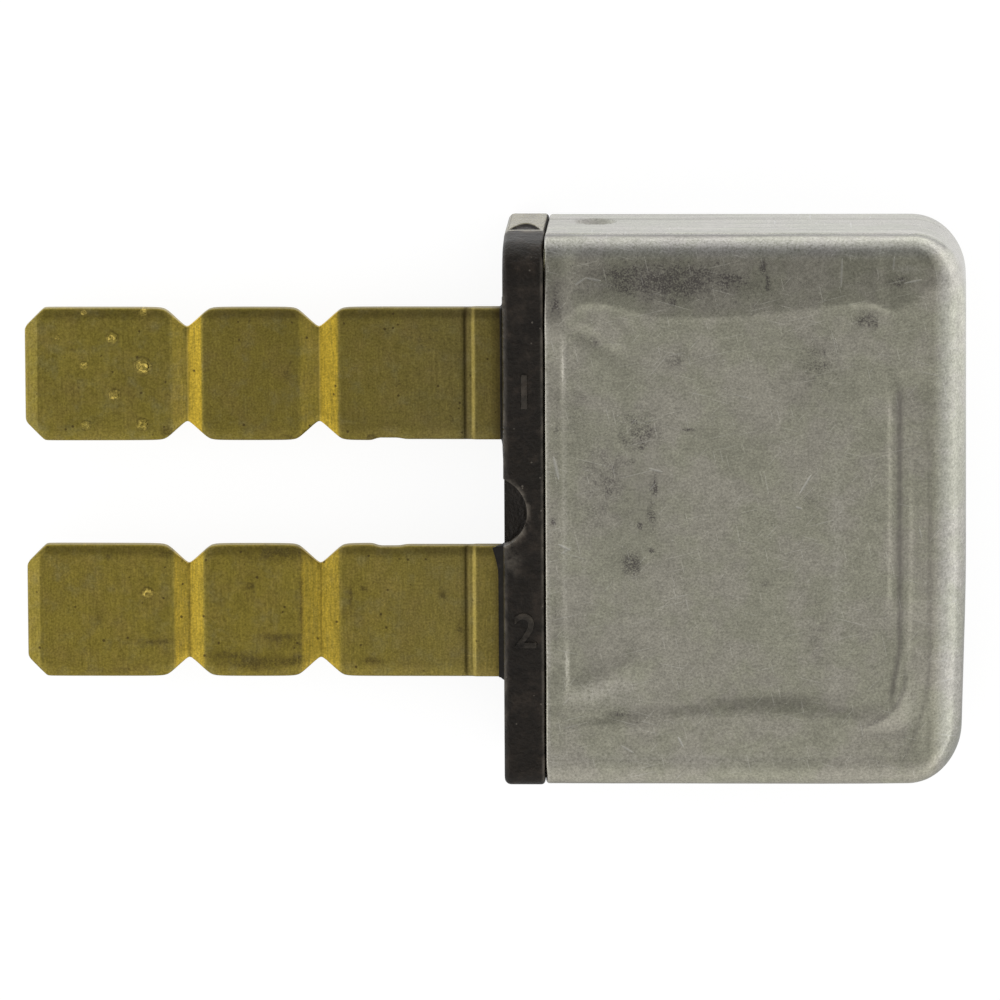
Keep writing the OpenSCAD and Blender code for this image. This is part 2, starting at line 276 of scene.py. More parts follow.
def rounded_outline(corners, radii, sides, arc):
    """Points round a convex outline with its corners rounded, counter-clockwise.

    sides gives the steps along the edge that leads to each corner, arc the steps round one.
    """
    corners = [np.array(corner, float) for corner in corners]
    points = []
    count = len(corners)
    starts, ends, centres = [], [], []
    for k in range(count):
        before, here, after = corners[k - 1], corners[k], corners[(k + 1) % count]
        into = (here - before) / np.linalg.norm(here - before)
        out = (after - here) / np.linalg.norm(after - here)
        turn = math.acos(float(np.clip(into @ out, -1, 1)))
        reach = radii[k] * math.tan(turn / 2)
        starts.append(here - into * reach)
        ends.append(here + out * reach)
        centres.append(here - into * reach + radii[k] * np.array([-into[1], into[0]]))
    for k in range(count):
        for t in np.linspace(0, 1, sides[k], endpoint=False):
            points.append(ends[k - 1] + (starts[k] - ends[k - 1]) * t)
        first, last = starts[k] - centres[k], ends[k] - centres[k]
        a0 = math.atan2(first[1], first[0])
        turn = (math.atan2(last[1], last[0]) - a0) % math.tau
        for t in np.linspace(0, 1, arc, endpoint=False):
            a = a0 + turn * t
            points.append(centres[k] + radii[k] * np.array([math.cos(a), math.sin(a)]))
    return np.array(points)


def rectangle(half_a, half_b):
    return [(half_a, -half_b), (half_a, half_b), (-half_a, half_b), (-half_a, -half_b)]


def shrunk(corners, inset):
    """A convex outline with every edge moved inwards by the inset."""
    corners = [np.array(corner, float) for corner in corners]
    lines = []
    for k in range(len(corners)):
        a, b = corners[k - 1], corners[k]
        along = (b - a) / np.linalg.norm(b - a)
        lines.append((a + inset * np.array([-along[1], along[0]]), along))
    out = []
    for k in range(len(corners)):
        (p, d), (q, e) = lines[k], lines[(k + 1) % len(corners)]
        t = ((q - p)[0] * e[1] - (q - p)[1] * e[0]) / (d[0] * e[1] - d[1] * e[0])
        out.append(p + d * t)
    return out


def along_x(rings, distances):
    """Rings of (y, z) points set at distances along X."""
    rings = np.asarray(rings)
    points = np.empty(rings.shape[:2] + (3,))
    points[..., 0] = np.asarray(distances)[:, None]
    points[..., 1:] = rings
    return points


def tidy_object(name, mesh):
    """An object at the origin, its mesh joined up and its normals pointing outwards."""
    bm = bmesh.new()
    bm.from_mesh(mesh)
    bmesh.ops.remove_doubles(bm, verts=bm.verts, dist=1e-7)
    bmesh.ops.recalc_face_normals(bm, faces=bm.faces)
    bm.to_mesh(mesh)
    bm.free()
    obj = bpy.data.objects.new(name, mesh)
    bpy.context.scene.collection.objects.link(obj)
    return obj


def mesh_object(name, points_mm, faces):
    """An object with its place in its mesh."""
    mesh = bpy.data.meshes.new(name)
    mesh.from_pydata((np.asarray(points_mm).reshape(-1, 3) * MM).tolist(), [], faces)
    return tidy_object(name, mesh)


def loft(name, rings, closed=False):
    """Quads between successive rings of points, and caps on the end rings unless it is closed."""
    rings = np.asarray(rings)
    stations, around = rings.shape[:2]
    faces = []
    for i in range(stations if closed else stations - 1):
        here, there = i * around, (i + 1) % stations * around
        for j in range(around):
            k = (j + 1) % around
            faces.append((here + j, here + k, there + k, there + j))
    if not closed:
        faces.append(tuple(reversed(range(around))))
        faces.append(tuple(range((stations - 1) * around, stations * around)))
    return mesh_object(name, rings, faces)


def apply_modifiers(obj):
    """Turns the evaluated object into its plain mesh."""
    depsgraph = bpy.context.evaluated_depsgraph_get()
    mesh = bpy.data.meshes.new_from_object(obj.evaluated_get(depsgraph))
    obj.modifiers.clear()
    old = obj.data
    obj.data = mesh
    bpy.data.meshes.remove(old)


def discard(obj):
    bpy.data.batch_remove([obj, obj.data])


def add_modifier(obj, kind, **settings):
    modifier = obj.modifiers.new(kind.title(), kind)
    for key, value in settings.items():
        setattr(modifier, key, value)
    return modifier


def cut(obj, cutters):
    """Subtracts closed meshes from obj, and removes them."""
    for cutter in cutters:
        add_modifier(obj, "BOOLEAN", operation="DIFFERENCE", solver="EXACT", object=cutter)
    apply_modifiers(obj)
    for cutter in cutters:
        discard(cutter)


def box_cutter(low, high):
    corners = list(itertools.product(*zip(low, high)))
    faces = [(0, 1, 3, 2), (4, 6, 7, 5), (0, 4, 5, 1), (2, 3, 7, 6), (0, 2, 6, 4), (1, 5, 7, 3)]
    return mesh_object("cutter", corners, faces)


def oval_cutter(x, y, ovals, steps=64):
    """A cutter along Z through ovals, each with its height and its half-widths along X and Y."""
    turn = np.linspace(0, math.tau, steps, endpoint=False)
    rings = [
        np.stack([x + wide * np.cos(turn), y + deep * np.sin(turn), np.full(steps, z)], axis=1)
        for z, wide, deep in ovals
    ]
    return loft("cutter", rings)


def round_cutter(x, y, low_z, high_z, radius, steps):
    return oval_cutter(x, y, [(low_z, radius, radius), (high_z, radius, radius)], steps)


def smooth_shading(obj, sharp=math.radians(35)):
    obj.data.polygons.foreach_set("use_smooth", [True] * len(obj.data.polygons))
    obj.data.set_sharp_from_angle(angle=sharp)


def paint(obj, **masks):
    """Stores masks at the points of a mesh, which its material reads by their names."""
    for name, values in masks.items():
        layer = obj.data.attributes.new(name, "FLOAT", "POINT")
        layer.data.foreach_set("value", np.asarray(values, np.float32))


def points_mm(obj):
    co = np.zeros(len(obj.data.vertices) * 3, np.float32)
    obj.data.vertices.foreach_get("co", co)
    return co.reshape(-1, 3).astype(float) / MM


def dress(obj, material, body, slot, *nodes):
    """Gives a finished piece its material and its body, and hides the frame nodes that it stands for.
    """
    obj.data.materials.clear()
    obj.data.materials.append(material)
    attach(obj, body)
    if nodes:
        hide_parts(*nodes)
    return obj


# ---------------------------------------------------------------- node helpers

FLOAT, VECTOR = "NodeSocketFloat", "NodeSocketVector"
GEOMETRY, MATERIAL = "NodeSocketGeometry", "NodeSocketMaterial"


class Value:
    """A node's output. Arithmetic on it adds the nodes that work the result out."""

    def __init__(self, tree, socket):
        self.tree, self.socket = tree, socket

    def __add__(self, other):
        return math_node("ADD", self, other)

    def __sub__(self, other):
        return math_node("SUBTRACT", self, other)

    def __rsub__(self, other):
        return math_node("SUBTRACT", other, self)

    def __mul__(self, other):
        return math_node("MULTIPLY", self, other)

    def __truediv__(self, other):
        return math_node("DIVIDE", self, other)

    def __rtruediv__(self, other):
        return math_node("DIVIDE", other, self)

    def __pow__(self, other):
        return math_node("POWER", self, other)


def tree_of(values):
    """The tree of the node values among plain numbers and node values."""
    return next(value.tree for value in values if isinstance(value, Value))


def set_input(tree, socket, value):
    """Links a node value to a socket, or sets a number, a vector or a colour on it."""
    if isinstance(value, Value):
        tree.links.new(value.socket, socket)
    elif socket.type == "RGBA":
        socket.default_value = (*value, 1.0)
    else:
        socket.default_value = value


def add_node(tree, kind, inputs=None, **settings):
    """Adds a node, sets its settings, and links or sets its inputs by name or number."""
    made = tree.nodes.new(kind)
    made.location = (220 * (len(tree.nodes) % 8), -260 * (len(tree.nodes) // 8))
    for key, value in settings.items():
        setattr(made, key, value)
    for key, value in (inputs or {}).items():
        set_input(tree, made.inputs[key], value)
    return made


def outcome(tree, kind, inputs=None, output=0, **settings):
    """The value that a new node puts out."""
    return Value(tree, add_node(tree, kind, inputs, **settings).outputs[output])


def math_node(operation, *values):
    return outcome(tree_of(values), "ShaderNodeMath", dict(enumerate(values)), operation=operation)


def scaled(value, gain, offset):
    """The value times a gain, plus an offset."""
    return math_node("MULTIPLY_ADD", value, gain, offset)


def clamped(value):
    """The value kept between 0 and 1 by the node that works it out."""
    value.socket.node.use_clamp = True
    return value


def highest(total, *others):
    for other in others:
        total = math_node("MAXIMUM", total, other)
    return total


def vector_math(operation, *values):
    output = "Value" if operation in ("DOT_PRODUCT", "LENGTH") else "Vector"
    inputs = dict(enumerate(values))
    return outcome(tree_of(values), "ShaderNodeVectorMath", inputs, output, operation=operation)


def scaled_vector(vector, scale):
    inputs = {0: vector, "Scale": scale}
    return outcome(vector.tree, "ShaderNodeVectorMath", inputs, operation="SCALE")


def split(vector):
    """The X, Y and Z of a vector."""
    made = add_node(vector.tree, "ShaderNodeSeparateXYZ", {0: vector})
    return [Value(vector.tree, socket) for socket in made.outputs]


def joined(x, y, z):
    """The vector with this X, Y and Z."""
    return outcome(tree_of((x, y, z)), "ShaderNodeCombineXYZ", {0: x, 1: y, 2: z})


def mix_colour(factor, first, second, blend="MIX"):
    tree = tree_of((factor, first, second))
    inputs = {"Factor": factor, 6: first, 7: second}
    return outcome(tree, "ShaderNodeMix", inputs, 2, data_type="RGBA", blend_type=blend)


def mix_value(factor, first, second):
    inputs = {"Factor": factor, 2: first, 3: second}
    return outcome(factor.tree, "ShaderNodeMix", inputs, data_type="FLOAT")


def map_range(value, low, high, to_low=0.0, to_high=1.0):
    """The value's place between low and high, as a smooth step from to_low to to_high."""
    return outcome(value.tree, "ShaderNodeMapRange", {
        "Value": value, "From Min": low, "From Max": high, "To Min": to_low, "To Max": to_high
    }, interpolation_type="SMOOTHSTEP")


def noise(vector, scale, detail=2.0, rough=0.5):
    return outcome(vector.tree, "ShaderNodeTexNoise", {
        "Vector": vector, "Scale": scale, "Detail": detail, "Roughness": rough
    })


def toned(base, *layers):
    """The base colour made darker and lighter by each layer: a value round a half, and its share."""
    for value, share in layers:
        factor = scaled(value, 2 * share, 1 - share)
        shade = outcome(value.tree, "ShaderNodeCombineColor", {0: factor, 1: factor, 2: factor})
        base = mix_colour(1.0, base, shade, "MULTIPLY")
    return base


def layered(base, *layers):
    """The base colour with each layer laid on it: a mask and its colour."""
    for mask, colour in layers:
        base = mix_colour(mask, base, colour)
    return base


def bump(height, depth_mm, before=None):
    """The normal of a relief, on top of another's if that is given."""
    inputs = {"Height": height, "Distance": depth_mm * MM, "Strength": 1.0}
    if before:
        inputs["Normal"] = before
    return outcome(height.tree, "ShaderNodeBump", inputs)


def title(name):
    """The words of a parameter's name, as they stand on a socket."""
    return name.replace("_", " ").capitalize()


def node_group(work, kind="ShaderNodeTree"):
    """The node group of a function on node values, built when it is first needed.

    The function's parameters give the group's inputs, each with its default number or its kind of
    socket. The names and values that it returns give the outputs.
    """
    group = bpy.data.node_groups.get(work.__name__)
    if group:
        return group
    group = bpy.data.node_groups.new(work.__name__, kind)
    parameters = inspect.signature(work).parameters
    for name, parameter in parameters.items():
        number = isinstance(parameter.default, float)
        socket_type = FLOAT if number else parameter.default
        made = group.interface.new_socket(title(name), in_out="INPUT", socket_type=socket_type)
        if number:
            made.default_value = parameter.default
    entry = group.nodes.new("NodeGroupInput")
    results = work(*[Value(group, socket) for socket, _ in zip(entry.outputs, parameters)])
    output_type = FLOAT if kind == "ShaderNodeTree" else GEOMETRY
    for name in results:
        group.interface.new_socket(name, in_out="OUTPUT", socket_type=output_type)
    leave = group.nodes.new("NodeGroupOutput")
    leave.location = (1800, 0)
    for name, value in results.items():
        group.links.new(value.socket, leave.inputs[name])
    return group


def shader_group(work):
    """Turns a function on node values into one that adds its node group to the place's tree."""
    @functools.wraps(work)
    def use(place, **values):
        inputs = {"Place": place, **{title(name): value for name, value in values.items()}}
        made = add_node(place.tree, "ShaderNodeGroup", inputs, node_tree=node_group(work))
        outputs = [Value(place.tree, socket) for socket in made.outputs]
        return outputs if len(outputs) > 1 else outputs[0]

    return use


# ---------------------------------------------------------------- shared surface effects

@shader_group
def scratch_mask(place=VECTOR, start=VECTOR, end=VECTOR, width=0.03, strength=1.0):
    """One straight scratch: a mask round the line from one point to another."""
    along = vector_math("SUBTRACT", end, start)
    here = vector_math("SUBTRACT", place, start)
    share = vector_math("DOT_PRODUCT", here, along) / vector_math("DOT_PRODUCT", along, along)
    share = clamped(share)
    away = vector_math("LENGTH", vector_math("SUBTRACT", here, scaled_vector(along, share)))
    middle = math_node("ABSOLUTE", scaled(share, 2.0, -1.0))
    thin = width * (1.05 - middle ** 4.0)
    return {"Mask": clamped(1.0 - away / thin) * strength}


@shader_group
def hairline_mask(place=VECTOR, turn=0.0, span=2.0, width=0.03, threshold=0.7):
    """Fine random hairlines that run along one direction in the broad plane."""
    inputs = {"Vector": place, "Angle": turn}
    turned = outcome(place.tree, "ShaderNodeVectorRotate", inputs, rotation_type="Z_AXIS")
    lines = noise(vector_math("MULTIPLY", turned, joined(1.0 / span, 0.5 / width, 0.6)), 1.0, 0.0)
    return {"Mask": map_range(lines, threshold, threshold + 0.05)}


@shader_group
def blotch_mask(place=VECTOR, scale=2.0, level=0.0, softness=0.1):
    """Ragged blotches that a level lifts or lowers."""
    cloud = noise(place, scale, 5.0, 0.62)
    return {"Mask": map_range(cloud + level, 0.62 - softness, softness + 0.62)}


@shader_group
def stain_mask(place=VECTOR, amount=0.0, scale=2.5, speckle=5.5):
    """A smudge with a ragged, speckled edge where the painted amount is high."""
    cloud = noise(place, scale, 4.0, 0.6)
    fine = noise(place, 15.0, 2.0, 0.6)
    mask = map_range(amount * scaled(cloud, 3.2, -0.6), 0.02, 0.95)
    return {"Mask": clamped(mask * ((fine - 0.5) * speckle + 0.9))}


@shader_group
def grain_layers(place=VECTOR, size=0.06, stretch_x=1.0, stretch_y=1.0):
    """Fine grain of a rolled or moulded surface, a coarser mottle and broad unevenness."""
    stretched = vector_math("MULTIPLY", place, joined(1.0 / stretch_x, 1.0 / stretch_y, 1.0))
    rate = 1.0 / size
    return {
        "Grain": noise(stretched, rate, 2.0, 0.65),
        "Mottle": noise(stretched, rate * 0.24, 3.0, 0.6),
        "Cloud": noise(place, 0.55, 4.0, 0.55),
    }


@shader_group
def fleck_mask(place=VECTOR, spacing=1.0, radius=0.06, share=0.4):
    """Small round flecks scattered at random, a share of the cells holding one."""
    ragged = noise(place, 9.0, 2.0)
    inputs = {"Vector": place, "Scale": 1.0 / spacing}
    cells = add_node(place.tree, "ShaderNodeTexVoronoi", inputs).outputs
    away = Value(place.tree, cells["Distance"]) * spacing
    dot = clamped(1.0 - away / (radius * scaled(ragged, 1.6, 0.2)))
    picked = outcome(place.tree, "ShaderNodeSeparateColor", {0: Value(place.tree, cells["Color"])})
    return {"Mask": clamped(dot * 2.0) * math_node("LESS_THAN", picked, share)}


@shader_group
def pit_layers(place=VECTOR, middle=VECTOR, radius=0.15):
    """A pit with a raised ragged rim: painted highlight specks, a painted shade outline and its
    height.
    """
    away = vector_math("LENGTH", vector_math("SUBTRACT", place, middle))
    share = (scaled(noise(place, 6.0, 2.0), 0.16, away) - 0.08) / radius

    def ring(at, sharp):
        past = share - at
        return math_node("EXPONENT", past * past * -sharp)

    rim = ring(0.5, 6.0)
    speckled = map_range(noise(place, 5.5, 2.0), 0.5, 0.6)
    fill = map_range(share, 0.7, 1.1, 1.0, 0.0) * 0.14
    return {"Mask": rim * speckled + fill, "Dark": ring(1.15, 30.0), "Height": rim}


def hairlines(place, strength, *fields):
    """The strongest of several hairline fields: turn, length, width and threshold of each."""
    total = 0.0
    for turn, span, width, threshold in fields:
        mask = hairline_mask(place, turn=turn, span=span, width=width, threshold=threshold)
        total = highest(total, mask * strength)
    return total


class Finish:
    """A new material with its shader and its place in millimetres."""

    def __init__(self, name):
        self.material = bpy.data.materials.new(name)
        self.material.use_nodes = True
        self.tree = self.material.node_tree
        self.tree.nodes.clear()
        self.shader = self.tree.nodes.new("ShaderNodeBsdfPrincipled")
        self.output = self.tree.nodes.new("ShaderNodeOutputMaterial")
        self.tree.links.new(self.shader.outputs[0], self.output.inputs[0])
        coordinates = outcome(self.tree, "ShaderNodeTexCoord", output="Object")
        self.place = scaled_vector(coordinates, 1 / MM)
        self.flat_place = vector_math("MULTIPLY", self.place, (1.0, 1.0, 0.0))

    def attribute(self, name):
        return outcome(self.tree, "ShaderNodeAttribute", output="Fac", attribute_name=name)

    def feed(self, **values):
        """Links or sets the shader's inputs by name, and returns the material."""
        for name, value in values.items():
            set_input(self.tree, self.shader.inputs[name.replace("_", " ")], value)
        return self.material


# ---------------------------------------------------------------- materials

# Scratches that stand out on the can: from, to, width and strength, in the broad face's plane.
CAN_SCRATCHES = [
    (11.4, 0.75, 11.85, 1.5, 0.035, 0.9), (11.25, 0.25, 11.5, 0.18, 0.045, 0.8),
    (13.05, 9.85, 13.0, 8.75, 0.035, 0.7), (2.8, 8.85, 3.2, 9.12, 0.035, 0.9),
    (3.2, 9.12, 3.8, 9.0, 0.04, 0.9), (1.95, 2.2, 2.15, 1.3, 0.06, 0.8),
    (2.1, -1.2, 2.6, -1.45, 0.05, 0.8), (2.2, -1.6, 2.65, -1.3, 0.035, 0.6),
    (5.6, 1.75, 6.15, 1.6, 0.04, 0.7), (6.7, -8.7, 6.9, -9.1, 0.04, 0.9),
    (16.0, -0.55, 16.1, -0.95, 0.03, 0.6), (4.5, -9.05, 5.0, -9.35, 0.04, 0.6),
    (15.4, 8.9, 16.1, 9.05, 0.03, 0.8), (15.0, 9.4, 15.05, 9.9, 0.035, 0.7),
]


def aluminium_finish(settings):
    """Dull drawn aluminium: sandy grain, draw marks, stains, scratches, painted shade in its folds
    and painted edge highlights.
    """
    finish = Finish("dull_aluminium")
    place = finish.place
    fine, mottle, cloud = grain_layers(place, size=0.088)
    rolled = grain_layers(place, size=0.1, stretch_x=14.0)[0]
    base = toned(settings.tint, (fine, 0.58), (mottle, 0.26), (rolled, 0.07), (cloud, 0.08))
    tinge = mix_colour(map_range(cloud, 0.4, 0.6), (0.99, 1.0, 0.975), (1.015, 1.0, 1.035))
    base = mix_colour(1.0, base, tinge, "MULTIPLY")

    # Long draw marks down the narrow sides.
    across = math_node("ABSOLUTE", split(place)[1])
    on_side = map_range(across, HALF_WIDTH - 0.35, HALF_WIDTH - 0.1)
    drawn = noise(vector_math("MULTIPLY", place, (0.16, 0.4, 2.6)), 1.0, 4.0, 0.65)
    base = toned(base, (mix_value(on_side, 0.5, drawn), 0.5))

    stain = stain_mask(place, amount=finish.attribute("stain"), scale=2.6)
    level = scaled(finish.attribute("specks"), 0.26, -0.2)
    speckle = blotch_mask(place, scale=8.0, level=level, softness=0.08)
    flecks = fleck_mask(place, spacing=1.1, radius=0.07, share=0.25)
    # Stains, dark speckle and flecks, with the painted shade of the folds and the stake, all in one
    # darker colour.
    dirt = highest(stain * 0.82, speckle * 0.72, flecks * 0.3, finish.attribute("grime"))
    base = mix_colour(dirt, base, (0.112, 0.096, 0.1))

    marks = hairlines(
        place, 0.36, (0.25, 1.4, 0.024, 0.8), (1.35, 0.9, 0.022, 0.81), (2.3, 0.7, 0.024, 0.81),
        (2.9, 1.8, 0.022, 0.8)
    )
    for x0, y0, x1, y1, width, strength in CAN_SCRATCHES:
        marks = highest(marks, scratch_mask(
            finish.flat_place, start=(x0, y0, 0.0), end=(x1, y1, 0.0), width=width * 1.5,
            strength=strength
        ))
    marks = highest(marks, fleck_mask(place, spacing=0.34, radius=0.035, share=0.3) * 0.4)
    # Painted highlights on the edges, lip and steps, sparkling with the grain, along with real
    # scuffs.
    rubbed = clamped(finish.attribute("rub") * scaled(fine, 4.0, -1.2))
    base = layered(base, (marks * 0.85, (0.9, 0.88, 0.8)), (rubbed * 0.6, (0.86, 0.82, 0.74)))
    # A bluer tint painted where the rounded edges catch the light, for the colour of their
    # highlights.
    base = mix_colour(finish.attribute("burnish"), base, (0.98, 1.0, 1.09), "MULTIPLY")
    rough = scaled(dirt, 0.16, scaled(cloud, 0.1, settings.roughness - 0.05))
    return finish.feed(
        Base_Color=base, Metallic=1.0, Roughness=scaled(marks, -0.06, rough),
        Normal=bump(marks * -1.0, 0.005, bump(fine, 0.005))
    )


def moulding_finish(settings):
    """Black moulding: fine sparked texture, dust, edge wear with painted highlights, a smooth dusty
    end face with painted sheen.
    """
    finish = Finish("black_moulding")
    place = finish.place
    fine, mottle, cloud = grain_layers(place, size=0.13)
    base = toned(settings.tint, (fine, 0.8), (mottle, 1.0))
    x, y, _ = split(place)
    # The seating face holds less dust than the sides.
    dust = blotch_mask(place, scale=1.3, level=0.02, softness=0.16)
    dust = clamped(dust * scaled(mottle, 2.0, -0.2))
    dusty = dust * map_range(x, -0.01, 0.03, 0.03, 0.13)
    flecks = fleck_mask(place, spacing=0.35, radius=0.045, share=0.35)
    # Real wear, and painted highlights along the flange's edges and the notch's rim.
    worn = clamped(finish.attribute("worn") * scaled(mottle, 4.0, -1.4))
    # The end face is smooth and dusty, and painted lighter as a painted sheen, apart from the scooped
    # gate in it.
    end_face = finish.attribute("smooth")
    flat = highest(map_range(y, HALF_WIDTH - 0.05, HALF_WIDTH - 0.01), map_range(x, 0.16, 0.1))
    smooth = end_face * flat
    scuffed = clamped(smooth * scaled(mottle, 0.8, 0.2))
    base = layered(
        base, (dusty, (0.17, 0.12, 0.085)), (flecks * 0.3, (0.25, 0.22, 0.18)),
        (worn * 0.65, (0.2, 0.175, 0.14)), (scuffed, (0.5, 0.455, 0.3))
    )
    rough = scaled(cloud, 0.2, settings.roughness - 0.1)
    rough = scaled(end_face - smooth, 0.3, rough)
    return finish.feed(
        Base_Color=base, IOR=1.42, Specular_Tint=(1.0, 0.94, 0.87),
        Roughness=scaled(smooth, -0.2, rough), Normal=bump(mottle, 0.07, bump(fine, 0.035))
    )


# Pits on the blades' front faces: middle and radius.
BLADE_PITS = [
    (-15.38, 6.1, 0.21), (-14.2, 4.98, 0.3), (-15.3, 3.86, 0.2), (-16.48, 5.0, 0.15),
    (-16.43, 2.66, 0.17), (-14.22, 2.7, 0.21), (-14.16, 7.1, 0.14), (-16.47, 7.08, 0.1),
    (-17.5, 6.1, 0.08), (-14.1, -3.95, 0.2),
]

# Dark smears on the blades: middle, radius along and across, strength.
BLADE_STAINS = [
    (-10.9, -6.45, 0.8, 0.2, 0.9), (-9.8, -6.72, 0.9, 0.28, 1.0), (-8.6, -6.62, 0.8, 0.2, 0.9),
    (-8.8, -5.7, 0.9, 0.12, 0.75), (-8.5, -5.95, 0.7, 0.12, 0.75), (-8.06, -4.4, 0.1, 2.2, 0.75),
    (-9.0, -2.4, 1.5, 0.26, 0.8), (-10.1, -3.67, 0.16, 0.16, 1.1), (-5.64, -3.78, 0.12, 0.12, 1.2),
    (-2.56, -3.98, 0.13, 0.14, 1.0), (-3.08, -4.49, 0.08, 0.08, 1.1),
    (-4.04, -5.97, 0.08, 0.08, 1.1), (-5.35, -6.64, 0.45, 0.11, 0.9), (-6.16, -4.1, 0.08, 0.6, 0.7),
    (-1.89, -5.27, 0.16, 0.5, 0.55), (-16.0, -5.0, 0.1, 0.1, 0.9), (-12.8, -6.07, 0.14, 0.16, 0.9),
    (-13.6, -5.86, 1.0, 0.08, 0.6), (-15.6, -2.5, 0.12, 0.12, 0.8), (-13.4, -2.36, 0.4, 0.16, 0.7),
    (-12.75, -2.7, 0.1, 0.5, 0.6), (-13.3, 2.39, 0.2, 0.16, 1.0), (-10.0, 6.8, 0.08, 0.08, 1.0),
    (-8.4, 5.07, 0.09, 0.08, 1.0), (-8.6, 4.7, 0.24, 0.45, 0.5), (-9.1, 2.9, 0.08, 0.08, 1.0),
    (-8.6, 2.2, 0.3, 0.12, 0.7), (-5.3, 2.2, 0.3, 0.14, 0.7), (-4.0, 4.3, 0.5, 0.16, 0.5),
    (-2.2, 2.9, 0.1, 0.5, 0.5), (-15.5, -7.0, 1.6, 0.2, 0.4), (-3.2, 6.0, 1.2, 1.2, 0.3),
    (-16.9, 5.7, 0.1, 0.1, 1.0),
]


def brass_finish(settings):
    """Tarnished stamped brass, cleaner in its grooves, darker next to the base, with painted glints,
    highlights and shade.
    """
    finish = Finish("tarnished_brass")
    place = finish.place
    fine, mottle, cloud = grain_layers(place, size=0.08)
    stroke, stroke_mottle, _ = grain_layers(place, size=0.085, stretch_y=12.0)
    blush = blotch_mask(place, scale=0.9, level=0.04, softness=0.2)
    green = blotch_mask(place, scale=1.5, level=0.0, softness=0.16)
    dull = map_range(split(place)[0], -8.0, -1.0, 0.0, 0.3)
    tarnish = layered(
        toned(settings.tarnish, (cloud, 0.18)), (blush * 0.45, (0.4, 0.29, 0.1)),
        (green * 0.42, (0.31, 0.29, 0.15)), (dull, (0.34, 0.3, 0.15))
    )
    # Cleaner metal in the grooves, with painted light on the groove flanks that face the soft box.
    fresh = finish.attribute("fresh")
    ragged = scaled(stroke, 1.6, stroke_mottle - 1.3)
    base = mix_colour(clamped(fresh + ragged * fresh), tarnish, settings.fresh)
    base = toned(base, (fine, 0.7), (mottle, 0.2), (stroke, 0.28))

    stain = stain_mask(place, amount=finish.attribute("stain"), scale=3.0, speckle=2.2)
    flecks = fleck_mask(place, spacing=0.5, radius=0.07, share=0.6)
    # Stains and flecks, with painted shade in the groove roots, the step, the rolled-over edge and
    # the edge faces.
    dark = highest(stain * 0.66, flecks * 0.8, finish.attribute("grime"))
    lines = hairlines(
        place, 0.25, (0.1, 1.5, 0.02, 0.84), (1.5, 0.8, 0.02, 0.85), (0.8, 0.7, 0.02, 0.85)
    )
    # Each pit gets painted highlight specks and a painted shade outline, as well as its raised rim.
    pits, rims = 0.0, 0.0
    for x, y, radius in BLADE_PITS:
        specks, outline, height = pit_layers(finish.flat_place, middle=(x, y, 0.0), radius=radius)
        pits = highest(pits, specks)
        rims = highest(rims, height * (radius * 5))
        dark = highest(dark, outline * 0.4)
    # Scratches, with the painted pit highlights and the painted glints along the groove roots and the
    # step.
    bright = highest(lines, pits, finish.attribute("glint"))
    base = layered(base, (dark, (0.1, 0.072, 0.03)), (bright, (0.95, 0.72, 0.17)))
    rough = scaled(dark, 0.2, scaled(cloud, 0.12, settings.roughness - 0.06))
    return finish.feed(
        Base_Color=base, Metallic=1.0, Roughness=scaled(pits, -0.08, rough),
        Normal=bump(rims, 0.085, bump(fine, 0.004))
    )


def compound_finish(settings):
    """Cured sealing compound, a little glossier than the moulding."""
    finish = Finish("sealing_compound")
    fine, mottle, cloud = grain_layers(finish.place, size=0.16)
    dust = blotch_mask(finish.place, scale=3.0, level=0.0, softness=0.15)
    base = mix_colour(dust * 0.1, toned(settings.tint, (fine, 0.6)), (0.15, 0.13, 0.1))
    return finish.feed(
        Base_Color=base, IOR=1.36, Specular_Tint=(1.0, 0.93, 0.85),
        Roughness=scaled(cloud, 0.2, 0.42), Normal=bump(mottle, 0.08)
    )


def plain_metal_finish(name, tint, roughness, size):
    """A clean inner metal with a rolled or turned grain."""
    finish = Finish(name)
    fine, mottle, cloud = grain_layers(finish.place, size=size, stretch_x=8.0)
    return finish.feed(
        Base_Color=toned(tint, (fine, 0.25), (mottle, 0.15)), Metallic=1.0,
        Roughness=scaled(cloud, 0.15, roughness), Normal=bump(fine, 0.004)
    )


def paper_finish():
    """Grey insulating paper with its felted fibres."""
    finish = Finish("insulating_paper")
    fine, mottle, _ = grain_layers(finish.place, size=0.12, stretch_x=5.0)
    return finish.feed(
        Base_Color=toned((0.2, 0.195, 0.18), (fine, 0.3), (mottle, 0.15)), Roughness=0.85,
        Normal=bump(fine, 0.02)
    )


# ---------------------------------------------------------------- the can

# Where the pressed panel ends on its +Y and -Y sides: distance from the open end, then Y.
PANEL_TOP = [
    (0.65, 7.43), (0.95, 7.85), (1.5, 8.17), (2.2, 8.13), (3.0, 7.97), (3.7, 7.76), (4.5, 7.6),
    (6.0, 7.58), (7.5, 7.66), (9.7, 7.89), (11.0, 8.06), (12.0, 8.16), (12.7, 8.16), (13.0, 8.0),
    (13.2, 7.75), (14.2, 8.3), (15.0, 8.9)
]
PANEL_BOTTOM = [
    (0.6, -8.3), (1.65, -8.05), (3.96, -7.75), (5.7, -7.62), (7.04, -7.46), (9.04, -7.48),
    (10.96, -7.62), (12.4, -7.78), (13.4, -7.85)
]


def edge_line(u, points):
    """Smoothly follows the points of an edge line."""
    at, value = np.array(points).T
    total = np.zeros_like(u)
    for shift in (-0.24, -0.12, 0.0, 0.12, 0.24):
        total += np.interp(u + shift, at, value)
    return total / 5


def window(low, high, soft, t):
    """1 between low and high, fading to nothing over a soft width."""
    return smoothstep(low - soft, low + soft, t) * (1 - smoothstep(high - soft, high + soft, t))


